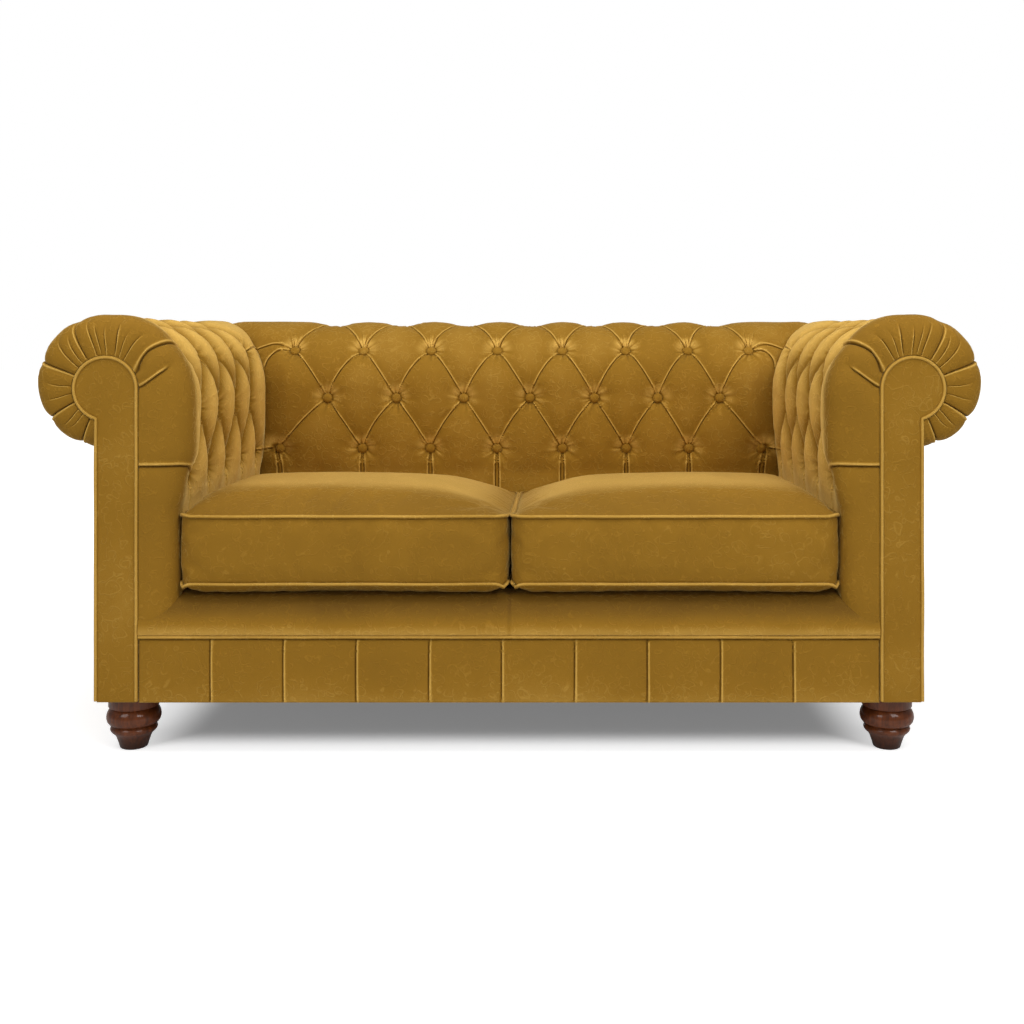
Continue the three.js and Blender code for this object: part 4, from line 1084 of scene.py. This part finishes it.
def edge_distance(points, boundary):
    x, y = points.T
    steps = np.roll(boundary, -1, axis=0) - boundary
    squares = np.maximum((steps ** 2).sum(1), 1e-12)
    nearest = np.full(len(points), 1e9)
    for (sx, sy), (dx, dy), square in zip(boundary, steps, squares):
        share = np.clip(((x - sx) * dx + (y - sy) * dy) / square, 0, 1)
        nearest = np.minimum(nearest, np.hypot(x - sx - share * dx, y - sy - share * dy))
    return nearest


def inset(boundary, amount):
    along = np.roll(boundary, -1, axis=0) - np.roll(boundary, 1, axis=0)
    along /= np.maximum(np.hypot(*along.T)[:, None], 1e-9)
    return boundary + amount * np.stack([-along[:, 1], along[:, 0]], 1)


def covered_panel(name, boundary, place, thickness, node, seed, crown=0.002, rounding=0.004,
                  pleats=(), step=0.012, slot="velvet"):
    """A panel covered in cloth: its face rounds over at the edge and swells a little inside it."""
    boundary = np.asarray(boundary, float)
    fine = [inset(boundary, amount) for amount in EDGE_OFFSETS] + [p.samples() for p in pleats]
    points, faces = triangulated(boundary, np.vstack(fine), step)
    count = len(points)
    height, valley, painted_shading = np.zeros(count), np.zeros(count), np.zeros(count)
    for pleat in pleats:
        pleat.add_to(points, height, valley, painted_shading)
    distance = edge_distance(points, boundary)
    turned = 1 - np.clip(distance / rounding, 0, 1)
    drop = rounding * (1 - np.sqrt(1 - turned ** 2))
    slow = np.array([noise.noise((a * PANEL_UNEVEN_SCALE, b * PANEL_UNEVEN_SCALE, seed))
                     for a, b in points])
    swell = crown * smoothstep(distance, 0, CROWN_WIDTH)
    swell += PANEL_UNEVENNESS * slow * smoothstep(distance, 0, 0.02)
    height = height * smoothstep(distance, 0, 0.002) + valley + swell - drop
    outer = np.array([place(a, b, h) for (a, b), h in zip(points, height)])
    inner = np.array([place(a, b, -thickness) for a, b in points])
    return piece(name, *closed_shell(outer, inner, faces), slot, "sofa_body", node, painted_shading=painted_shading,
                 sharp=60)


def rectangle(x0, x1, z0, z1, step=0.006):
    corners = [(x0, z0), (x1, z0), (x1, z1), (x0, z1)]
    points = []
    for (ax, az), (bx, bz) in zip(corners, corners[1:] + corners[:1]):
        count = max(2, int(math.hypot(bx - ax, bz - az) / step))
        points += [(ax + (bx - ax) * i / count, az + (bz - az) * i / count) for i in range(count)]
    return points


# ---------------------------------------------------------------- arm facings
PIPING_LAP = 1.2 * PIPING  # of the facing's edge inside the line of its piping
FACING_SINK = 0.0005  # of the facing behind the middle of its piping, and above its foot


def facing_outline(radius, outer, floor, step=0.005):
    """The sides of a post with a round head, anticlockwise: reach towards the seat, and height."""
    end = math.pi + math.acos(outer / radius)
    arc = np.linspace(0, end, int(end * radius / step))
    head = np.stack([radius * np.cos(arc), HEAD_Z + radius * np.sin(arc)], 1)
    post = np.linspace(floor, HEAD_Z, int((HEAD_Z - floor) / step))
    right = np.stack([np.full(len(post), radius), post], 1)[:-1]
    left_z = np.linspace(head[-1][1], floor, int((head[-1][1] - floor) / step))
    left = np.stack([np.full(len(left_z), -outer), left_z], 1)[1:]
    foot_x = np.linspace(-outer, radius, int((radius + outer) / step))
    foot = np.stack([foot_x, np.full(len(foot_x), floor)], 1)[1:-1]
    return right, head, left, foot


def facings():
    low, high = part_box("arm_facing_left")
    piping_y = low.y + PIPING
    for side, name in ((1, "left"), (-1, "right")):
        sides = facing_outline(FACING_RADIUS - PIPING_LAP, PANEL_REACH - PIPING_LAP,
                               low.z + FACING_SINK)
        place = lambda a, z, h: (side * (a - ARM_AXIS_X), piping_y - FACING_SINK - h, z)
        facing = covered_panel(f"facing_{name}", np.vstack(sides), place, high.y - piping_y,
                               f"arm_facing_{name}", 20 + side, crown=0.0022, rounding=0.003)
        if side < 0:
            facing.data.flip_normals()
        sides = facing_outline(FACING_RADIUS - PIPING, PANEL_REACH - PIPING, low.z + PIPING)[:3]
        path = [(side * (a - ARM_AXIS_X), piping_y, z) for a, z in np.vstack(sides)]
        piped(f"facing_piping_{name}", [wavy(path, 0.0006, 3 + side)],
              lambda p: Vector((0, -1, 0)), "sofa_body")


# ---------------------------------------------------------------- border, nose, outside panels
BORDER_SEAMS = 9
FIRST_SEAM = -0.539
SEAM_PITCH = 0.1316
BORDER_SHADE, BORDER_GLEAM = -0.11, 0.24  # painted shade all over the border, and painted light added towards its foot
SEAM_WIDTH = 0.0016  # of the sewn seam down the middle of the nose, and its depth
NOSE_FULLNESS, NOSE_FILLED = 0.0035, 0.87  # the share of its section that is padded
NOSE_RUCK, NOSE_UNEVENNESS = 0.0009, 0.0012
UNDER_NOSE = 0.04  # height of its rear part's underside over its front's foot


def front_border():
    low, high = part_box("front_border")
    pleats = []
    for i in range(BORDER_SEAMS):
        x = FIRST_SEAM + i * SEAM_PITCH
        path = [(x + 0.0004 * math.sin(7 * i + 2), low.z + 0.001),
                (x + 0.0006 * math.sin(3 * i), high.z)]
        pleats.append(Pleat(path, size=0.0032, valley=0.0022, spread=0.016, side=-1))
    border = covered_panel("pleated_border", rectangle(low.x, high.x, low.z, high.z),
                           lambda a, z, h: (a, low.y - h + 0.001, z), high.y - low.y - 0.001,
                           "front_border", 31, crown=0.0015, pleats=pleats)
    # Painted shade over the whole border, and painted light growing towards its foot.
    painted_shading = border.data.attributes["painted_shading"].data
    for vertex, value in zip(border.data.vertices, painted_shading):
        below = (high.z - vertex.co.z) / (high.z - low.z)
        value.value += BORDER_GLEAM * below ** 3 + BORDER_SHADE
    pipe_low, pipe_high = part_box("front_border_piping")
    middle = (pipe_low.z + pipe_high.z) / 2
    xs = np.linspace(pipe_low.x, pipe_high.x, 260)
    path = wavy([(x, pipe_low.y + PIPING, middle) for x in xs], 0.0008, 5)
    piped("border_piping", [path], lambda p: Vector((0, -1, 0.6)), "sofa_body",
          "front_border_piping")


def nose_painted_shading(share):
    """Light and shade painted along the nose, from its lower seam to its back: painted light, then
    painted shade under the cushion, then nearly plain.
    """
    return 0.70 - 1.35 * smoothstep(share, 0, 0.58) + 0.55 * smoothstep(share, 0.68, 0.9)


def seat_nose():
    """The padded lip: a section of front, top, back and underside, carried across the sofa."""
    low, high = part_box("seat_nose")
    front = [(low.y, z) for z in np.linspace(low.z, NOSE_SHOULDER, 8)]
    quarter = np.linspace(math.pi, math.pi / 2, 30)[1:]
    over = [(low.y + NOSE_RUN + NOSE_RUN * math.cos(a), NOSE_SHOULDER + NOSE_RISE * math.sin(a))
            for a in quarter]
    back = [(high.y, high.z), (high.y, low.z + UNDER_NOSE)]
    under = [(low.y + 0.012, low.z + UNDER_NOSE), (low.y + 0.012, low.z)]
    section = front + over + back + under
    xs = np.linspace(low.x, high.x, 420)
    shown = len(front) + len(over)
    vertices, painted_shading = [], []
    for x in xs:
        seam = math.exp(-(x / SEAM_WIDTH) ** 2) * SEAM_WIDTH
        for i, (y, z) in enumerate(section):
            if i >= shown:
                vertices.append((x, y, z))
                painted_shading.append(0)
                continue
            share = i / shown
            full = 0
            if share < NOSE_FILLED:
                full = NOSE_FULLNESS * math.sin(math.pi * min(1, share * 1.15) ** 0.7)
            ruck = noise.noise((x * 38, share * 3, 2.0)) * NOSE_RUCK * max(0, 1 - 2.2 * share)
            slow = noise.noise((x * 9, share * 4, 7.0)) * NOSE_UNEVENNESS
            slow *= math.sin(math.pi * share)
            lift = full + ruck + slow - seam
            angle = max(0, (i - len(front)) / len(over)) * math.pi / 2
            vertices.append((x, y - lift * math.cos(angle), z + lift * math.sin(angle)))
            # Painted light and shade along the nose's section, and painted shade in its middle
            # seam.
            painted_shading.append(nose_painted_shading(share) - 0.35 * seam / SEAM_WIDTH)
    n, last = len(section), len(xs) - 1
    faces = [((i + 1) * n + j, (i + 1) * n + (j + 1) % n, i * n + (j + 1) % n, i * n + j)
             for i in range(last) for j in range(n)]
    faces += [tuple(range(n)), tuple(reversed(range(last * n, (last + 1) * n)))]
    nose = piece("padded_nose", vertices, faces, "velvet", "sofa_body", "seat_nose", painted_shading=painted_shading,
                 sharp=50)


DECK_SINK = 0.0022  # of the deck's cover, so that its crown stays under the cushions


def outside_panels():
    for side, name in ((-1, "left"), (1, "right")):
        low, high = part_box(f"outside_arm_{name}")
        outside = max(abs(low.x), abs(high.x))
        place = lambda a, z, h: (side * (outside + h), -side * a, z)
        span = sorted((-side * low.y, -side * high.y))
        panel = covered_panel(f"outside_arm_cover_{name}", rectangle(*span, low.z, high.z), place,
                              high.x - low.x, f"outside_arm_{name}", 40 + side, crown=0.0018,
                              step=0.02)
        panel.data.flip_normals()
    low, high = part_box("outside_back")
    covered_panel("outside_back_cover", rectangle(low.x, high.x, low.z, high.z),
                  lambda a, z, h: (-a, high.y + h, z), high.y - low.y, "outside_back", 44,
                  crown=0.0022, step=0.02)
    low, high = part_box("seat_deck")
    deck = covered_panel("deck_cover", rectangle(low.x, high.x, low.y, high.y),
                         lambda a, b, h: (a, b, high.z - DECK_SINK + h), high.z - low.z - 0.003,
                         "seat_deck", 46, rounding=0.006, step=0.02, slot="platform_cloth")


# ---------------------------------------------------------------- cushions
CUSHION_STEP = 0.010
CUSHION_CORNER = 0.026
CUSHION_BORDER = 0.123
UNDER_CROWN = 0.020
CROWN_EDGE, INNER_EDGE = 0.036, 0.110
OUTER_BULGE, OUTER_RISE = 0.012, 0.090
UNFILLED_CROWN = 0.041
REAR_SAG = 0.014  # of the top, where the seat is sat down
INNER_SAG, INNER_SAG_WIDTH = 0.024, 0.16  # of the seam beside the other cushion
SAG_START = -0.10
OUTER_SHARES = (0.7, 0.3)  # of the crown by the arm that rise over the bulge, and over the rise
REAR_LOSS, REAR_LOSS_START = 0.55, -0.05  # of the crown towards the rear
FILLING_STEPS = 20
SWELLING = 0.009  # the most that the filling moves the cover
CUSHION_UNEVENNESS, CUSHION_UNEVEN_SCALE = 0.0012, 8
TOP_EDGE_SHADE, TOP_PAINTED_LIGHT = -0.28, 0.72  # painted shade on the top at its front and ends, and painted light added inside them
# Painted shade on the cushion's sides, and along the seam round its top.
SIDE_SHADE, SEAM_SHADE = -0.07, -0.2

# The zip lies in a channel along the rear border, which starts at the fourth ring of vertices.
ZIP_RING = 4
ZIP_SINK = 0.0035
CHANNEL_LIP, CHANNEL_FLOOR = 0.0045, 0.0025  # heights beyond the tape
ZIP_TAPE = 0.0012
ZIP_SLIT = 0.0003
TOOTH_PITCH = 0.0020
TOOTH_HALF = 0.0008
TOOTH_ROOT = 0.0003  # in the tape
TOOTH_NEAR, TOOTH_FAR = 0.0004, 0.0022  # past the slit, and back from it


def rounded_grid(half_x, half_y, corner, nx, ny):
    """A grid over a rectangle with round corners, as rows of points about its middle."""
    x, y = np.meshgrid(np.linspace(-half_x, half_x, nx + 1), np.linspace(-half_y, half_y, ny + 1))
    dx, dy = np.maximum(np.abs(x) - half_x + corner, 0), np.maximum(np.abs(y) - half_y + corner, 0)
    new_dx = dx * np.sqrt(1 - dy ** 2 / (2 * corner ** 2))
    new_dy = dy * np.sqrt(1 - dx ** 2 / (2 * corner ** 2))
    return x + np.sign(x) * (new_dx - dx), y + np.sign(y) * (new_dy - dy)


def crown_share(x, y, half_x, half_y, inner):
    """Full close to the seams but softer beside the other cushion, and lower behind."""
    end = half_y - np.abs(y)
    outer = half_x + inner * x
    full = (1 - OUTER_SHARES[0] * np.exp(-outer / OUTER_BULGE)
            - OUTER_SHARES[1] * np.exp(-outer / OUTER_RISE))
    full *= 1 - np.exp(-end / CROWN_EDGE)
    full *= 1 - np.exp(-(half_x - inner * x) / INNER_EDGE)
    behind = np.clip((y - REAR_LOSS_START) / half_y, 0, 1)
    return full * (1 - REAR_LOSS * behind ** 1.5)


def cushion_mesh(low, high, side):
    """Vertices, faces, and the two seam loops of a box cushion before it is filled."""
    half_x, half_y = (high.x - low.x) / 2 - PIPING, (high.y - low.y) / 2 - PIPING
    nx, ny = int(2 * half_x / CUSHION_STEP), int(2 * half_y / CUSHION_STEP)
    x, y = rounded_grid(half_x, half_y, CUSHION_CORNER, nx, ny)
    seam_low, seam_high = low.z + UNDER_CROWN, low.z + UNDER_CROWN + CUSHION_BORDER
    share = crown_share(x, y, half_x, half_y, -side)
    sag = REAR_SAG * smoothstep(y, SAG_START, half_y)
    sag = sag + (INNER_SAG * smoothstep(-side * x, half_x - INNER_SAG_WIDTH, half_x)
                 * smoothstep(y, -half_y, SAG_START))
    top = np.stack([x, y, seam_high - sag + UNFILLED_CROWN * share], 2).reshape(-1, 3)
    edge = np.minimum(half_x - np.abs(x), half_y - np.abs(y))
    below = seam_low - UNDER_CROWN * np.sin(np.clip(edge / CROWN_EDGE, 0, 1) * math.pi / 2)
    bottom = np.stack([x, y, below], 2).reshape(-1, 3)
    index = np.arange((nx + 1) * (ny + 1)).reshape(ny + 1, nx + 1)
    loop = np.concatenate([index[0, :-1], index[:-1, -1], index[-1, :0:-1], index[:0:-1, 0]])
    quads = np.stack([index[:-1, :-1], index[:-1, 1:], index[1:, 1:], index[1:, :-1]], 2)
    quads = quads.reshape(-1, 4)
    count = len(top)
    faces = quads.tolist() + (quads[:, ::-1] + count).tolist()
    vertices = [top, bottom]
    rows = int(CUSHION_BORDER / CUSHION_STEP)
    previous, start = loop + count, 2 * count
    for k in range(1, rows + 1):
        if k < rows:
            vertices.append(bottom[loop] + (top[loop] - bottom[loop]) * k / rows)
            current = start + (k - 1) * len(loop) + np.arange(len(loop))
        else:
            current = loop
        ahead, ahead_previous = np.roll(current, -1), np.roll(previous, -1)
        faces += np.stack([previous, ahead_previous, ahead, current], 1).tolist()
        previous = current
    centre = ((low.x + high.x) / 2, (low.y + high.y) / 2, 0)
    return np.vstack(vertices) + centre, faces, loop, loop + count


def filled(obj, pinned):
    """The cushion's vertices after a cloth simulation blows it up, its seams held."""
    rest = np.array([v.co for v in obj.data.vertices])
    group = obj.vertex_groups.new(name="seams")
    group.add([int(i) for i in pinned], 1.0, "REPLACE")
    cloth = obj.modifiers.new("filling", "CLOTH")
    settings = cloth.settings
    settings.quality = 5
    settings.mass = 0.25
    settings.tension_stiffness = settings.compression_stiffness = 12
    settings.shear_stiffness = 6
    settings.bending_stiffness = 0.4
    settings.use_pressure = True
    settings.uniform_pressure_force = 4.0
    settings.shrink_min = -0.022
    settings.vertex_group_mass = "seams"
    settings.effector_weights.gravity = 0
    cloth.collision_settings.use_collision = False
    cloth.point_cache.frame_end = FILLING_STEPS
    scene = bpy.context.scene
    for number in range(1, FILLING_STEPS + 1):
        scene.frame_set(number)
    evaluated = obj.evaluated_get(bpy.context.evaluated_depsgraph_get())
    blown = np.array([v.co for v in evaluated.data.vertices])
    obj.modifiers.remove(cloth)
    obj.vertex_groups.remove(group)
    scene.frame_set(1)
    moved = blown - rest
    length = np.maximum(np.linalg.norm(moved, axis=1), 1e-9)[:, None]
    return rest + moved * np.minimum(1, SWELLING / length)


def zip_channel(vertices, top_seam, low_seam, node):
    """Sinks the rear border round the zip: four rings of vertices move to the channel's edges."""
    low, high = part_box(node)
    count, around = low_seam[0] - top_seam[0], len(top_seam)
    rings = vertices[2 * count:].reshape(-1, around, 3)
    half, middle = (high.x - low.x) / 2, (high.x + low.x) / 2
    share = 1 - smoothstep(np.abs(rings[0, :, 0] - middle), half, half + CUSHION_STEP)
    share = share * (rings[0, :, 1] > 0)
    sunk = low.y - ZIP_SINK
    edges = ((low.z - CHANNEL_LIP, None), (low.z - CHANNEL_FLOOR, sunk),
             (high.z + CHANNEL_FLOOR, sunk), (high.z + CHANNEL_LIP, None))
    for ring, (height, depth) in zip(rings[ZIP_RING:], edges):
        ring[:, 2] += (height - ring[:, 2]) * share
        if depth is not None:
            ring[:, 1] += (depth - ring[:, 1]) * share


def block(low, high):
    """Vertices and faces of a plain block."""
    vertices = [(x, y, z) for x in (low[0], high[0]) for y in (low[1], high[1])
                for z in (low[2], high[2])]
    return vertices, [(0, 1, 3, 2), (4, 6, 7, 5), (0, 4, 5, 1), (2, 3, 7, 6), (0, 2, 6, 4),
                      (1, 5, 7, 3)]


def zips():
    """A tape in each cushion's rear border, in two halves, and the teeth that mesh between them."""
    for name in ("left", "right"):
        low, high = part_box(f"cushion_zip_{name}")
        front, middle = low.y + ZIP_TAPE, (low.z + high.z) / 2
        halves = [block((low.x, low.y, foot), (high.x, front, head))
                  for foot, head in ((low.z, middle - ZIP_SLIT), (middle + ZIP_SLIT, high.z))]
        piece(f"zip_tape_{name}", *joined(halves), "platform_cloth", f"{name}_cushion")
        teeth = []
        for i in range(int((high.x - low.x) / TOOTH_PITCH) - 2):
            x, up = low.x + (i + 1.5) * TOOTH_PITCH, 1 if i % 2 else -1
            foot, head = sorted((middle - up * TOOTH_NEAR, middle + up * TOOTH_FAR))
            teeth.append(block((x - TOOTH_HALF, front - TOOTH_ROOT, foot),
                               (x + TOOTH_HALF, high.y, head)))
        piece(f"zip_teeth_{name}", *joined(teeth), "zip_brass", f"{name}_cushion",
              f"cushion_zip_{name}", sharp=30)


def cushion_painted_shading(vertices, low, high, top_seam, low_seam):
    """Painted shade on the top at its front and ends, painted light added inside them, and painted
    shade on the sides and along the top seam.
    """
    from_side = (high.x - low.x) / 2 - np.abs(vertices[:, 0] - ((low + high) / 2).x)
    painted_light_share = smoothstep(vertices[:, 1] - low.y, 0.03, 0.17) * smoothstep(from_side, -0.03, 0.10)
    is_top = np.arange(len(vertices)) < low_seam.min()
    painted_shading = np.where(is_top, TOP_PAINTED_LIGHT * painted_light_share + TOP_EDGE_SHADE, SIDE_SHADE)
    painted_shading[top_seam] = SEAM_SHADE
    return painted_shading


def cushion_piping(vertices, seams, middle, side, name):
    loops = []
    for k, seam in enumerate(seams):
        path = vertices[seam]
        away = path - np.array([middle.x, middle.y, 0])
        away[:, 2] = 0
        away /= np.linalg.norm(away, axis=1)[:, None]
        loops.append(wavy(path + away * PIPING * 0.35, 0.0007, side + k))
    outward = lambda p: (Vector((p.x - middle.x, p.y - middle.y, 0)).normalized()
                         + Vector((0, 0, 0.5)))
    piped(f"cushion_piping_{name}", loops, outward, f"{name}_cushion", closed=True)


def cushions():
    for side, name in ((-1, "left"), (1, "right")):
        node = f"seat_cushion_{name}"
        low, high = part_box(node)
        middle = (low + high) / 2
        vertices, faces, top_seam, low_seam = cushion_mesh(low, high, side)
        cushion = piece(f"box_cushion_{name}", vertices, faces, "velvet", f"{name}_cushion", node,
                        painted_shading=(), sharp=180)
        vertices = filled(cushion, np.concatenate([top_seam, low_seam]))
        spots = vertices * CUSHION_UNEVEN_SCALE + (0, 0, side)
        slow = np.array([noise.noise(Vector(spot)) for spot in spots])
        outward = vertices - np.array(middle)
        outward = outward / np.linalg.norm(outward, axis=1)[:, None]
        vertices = vertices + outward * (CUSHION_UNEVENNESS * slow)[:, None]
        vertices[:, 0] = np.clip(vertices[:, 0], low.x + 0.0005, high.x - 0.0005)
        vertices[:, 1] = np.clip(vertices[:, 1], low.y - 0.004, high.y - 0.0005)
        vertices[:, 2] = np.clip(vertices[:, 2], low.z, high.z + 0.012)
        painted_shading = cushion_painted_shading(vertices, low, high, top_seam, low_seam)
        zip_channel(vertices, top_seam, low_seam, f"cushion_zip_{name}")
        cushion.data.attributes["painted_shading"].data.foreach_set("value", painted_shading.astype(np.float32))
        cushion.data.vertices.foreach_set("co", vertices.astype(np.float32).ravel())
        cushion.data.update()
        smooth = cushion.modifiers.new("surface", "SUBSURF")
        smooth.levels = smooth.render_levels = 1
        cushion_piping(vertices, (top_seam, low_seam), middle, side, name)


# ---------------------------------------------------------------- legs
LEG_RADIUS = 0.049
LEG_COLLAR = 0.0215
LEG_GAP = 0.0006  # between the leg and the rail that it is screwed to
# The turning from the floor up: shares of the leg's radius, and of its height below the collar.
LEG_TURNING = ((0.0, 0.0), (0.47, 0.0), (0.505, 0.015), (0.52, 0.04), (0.55, 0.11), (0.61, 0.22),
               (0.645, 0.28), (0.70, 0.335), (0.80, 0.39), (0.845, 0.425), (0.865, 0.465),
               (0.85, 0.50), (0.80, 0.53), (0.785, 0.545), (0.80, 0.56), (0.90, 0.59),
               (0.965, 0.645), (0.995, 0.71), (1.0, 0.76), (0.985, 0.83), (0.94, 0.90),
               (0.87, 0.955), (0.845, 0.975), (0.86, 0.985), (0.915, 0.995), (0.93, 1.01))
COLLAR_RADIUS = 0.93 * LEG_RADIUS
# Radii over which the stain goes from painted shade, where the turning is thin, to its own red.
UNSHADED_FROM, UNSHADED_TO = 0.28 * LEG_RADIUS, 1.02 * LEG_RADIUS


def legs():
    for end in ("front", "rear"):
        for name in ("left", "right"):
            node = f"{end}_leg_{name}"
            low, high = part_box(node)
            tall = high.z - low.z
            profile = [(radius * LEG_RADIUS, share * (tall - LEG_COLLAR))
                       for radius, share in LEG_TURNING]
            profile += [(COLLAR_RADIUS, tall - LEG_GAP), (0.0, tall - LEG_GAP)]
            centre = ((low.x + high.x) / 2, (low.y + high.y) / 2, low.z)
            vertices, faces = lathe(profile, 64, centre, (0, 0, 1))
            radii = np.array([math.hypot(v.x - centre[0], v.y - centre[1]) for v in vertices])
            # Painted shade where the turning is thin.
            piece(f"turned_leg_{end}_{name}", vertices, faces, "leg_wood", "sofa_body", node,
                  painted_shading=smoothstep(radii, UNSHADED_FROM, UNSHADED_TO), sharp=40)


# ---------------------------------------------------------------- pieces that stay as packed
def finish_packed_nodes():
    slots = {part["node"]: part["material_slot"] for part in frame["record"]["subparts"]}
    for node, obj in frame["nodes"].items():
        obj.data.materials.clear()
        obj.data.materials.append(MATERIALS[slots[node]])


# ---------------------------------------------------------------- stage, light and camera
FLOOR_HALF = 30.0
FLOOR_GREY = (0.80, 0.80, 0.80)
# How strongly the floor glows for the camera, round the sofa and far from it: from one distance
# beyond its sides to another, and from one strength to another. The glow is weakest under the sofa,
# a painted shadow laid over its real one.
NEAR_GLOW = (-0.16, -0.05, 0.19, 0.56)
FAR_GLOW = (0.05, 1.2, 0.0, 0.95)
AMBIENT = 0.30
# The lamps' names, places, targets, sizes and powers in watts.
LAMPS = (("overhead", (0, -0.9, 3.2), (0, 0, 0.3), (3.6, 1.8), 78),
         ("key", (1.9, -2.9, 2.6), (0, 0, 0.4), (1.6, 1.6), 56),
         ("fill", (-2.1, -2.9, 2.4), (0, 0, 0.4), (1.6, 1.6), 36))
CAMERA_PLACE = (0.080, -2.670, 0.750)
CAMERA_SENSOR, CAMERA_LENS = 36.0, 42.89  # in millimetres
CAMERA_SHIFT = (-0.0404, -0.1653)


def stage():
    """A pale floor that keeps the sofa's shadow. For the camera it glows, least under the sofa,
    which paints a shadow there, and more further out.
    """
    mesh = bpy.data.meshes.new("floor")
    corners = [(-1, -1), (1, -1), (1, 1), (-1, 1)]
    mesh.from_pydata([(FLOOR_HALF * x, FLOOR_HALF * y, 0) for x, y in corners], [], [(0, 1, 2, 3)])
    floor = placed("floor", mesh)
    material = bpy.data.materials.new("floor")
    graph = Graph(material)
    graph.nodes.clear()
    axes = graph.add("SeparateXYZ", graph.place()).node.outputs
    past = [graph.maths("SUBTRACT", graph.maths("ABSOLUTE", axis), half)
            for axis, half in zip(axes, (ARM_AXIS_X + PANEL_REACH, BACK_Y))]
    beyond = graph.maths("MAXIMUM", *past)
    # Painted shadow: the glow is weakest under the sofa and grows towards its sides.
    near = graph.ranged(beyond, *NEAR_GLOW, interpolation_type="SMOOTHSTEP")
    glow = graph.maths("MAXIMUM", near, graph.ranged(beyond, *FAR_GLOW))
    seen = graph.maths("MULTIPLY", graph.add("LightPath", output="Is Camera Ray"), glow)
    both = graph.add("AddShader", graph.add("BsdfDiffuse", Color=FLOOR_GREY),
                     graph.add("Emission", Strength=seen))
    graph.feed(graph.nodes.new("ShaderNodeOutputMaterial").inputs["Surface"], both)
    mesh.materials.append(material)


def world():
    """White to the camera, also through a clear piece, and a plain light to all else."""
    studio = bpy.data.worlds.new("studio")
    bpy.context.scene.world = studio
    graph = Graph(studio)
    path = graph.add("LightPath").node.outputs
    seen = graph.maths("MAXIMUM", path["Is Camera Ray"], path["Is Transmission Ray"])
    background = graph.nodes["Background"]
    graph.feed(background.inputs["Color"], (1, 1, 1))
    graph.feed(background.inputs["Strength"], graph.ranged(seen, 0.0, 1.0, AMBIENT, 1.0))


def lamps():
    for name, place, target, size, power in LAMPS:
        light = bpy.data.lights.new(name, "AREA")
        light.shape = "RECTANGLE"
        light.size, light.size_y = size
        light.energy = power
        lamp = placed(name, light)
        lamp.location = place
        aim = Vector(target) - Vector(place)
        lamp.rotation_euler = aim.to_track_quat("-Z", "Y").to_euler()


def camera():
    data = bpy.data.cameras.new("camera")
    data.sensor_width, data.lens = CAMERA_SENSOR, CAMERA_LENS
    data.shift_x, data.shift_y = CAMERA_SHIFT
    obj = placed("camera", data)
    obj.location = CAMERA_PLACE
    obj.rotation_euler = (math.pi / 2, 0, 0)
    bpy.context.scene.camera = obj


camera()
finish_packed_nodes()
back_pad()
arm_pad(-1, 12)
arm_pad(1, 13)
all_tufting()
facings()
front_border()
seat_nose()
outside_panels()
cushions()
zips()
legs()
stage()
world()
lamps()
bpy.context.scene.view_settings.view_transform = "Standard"
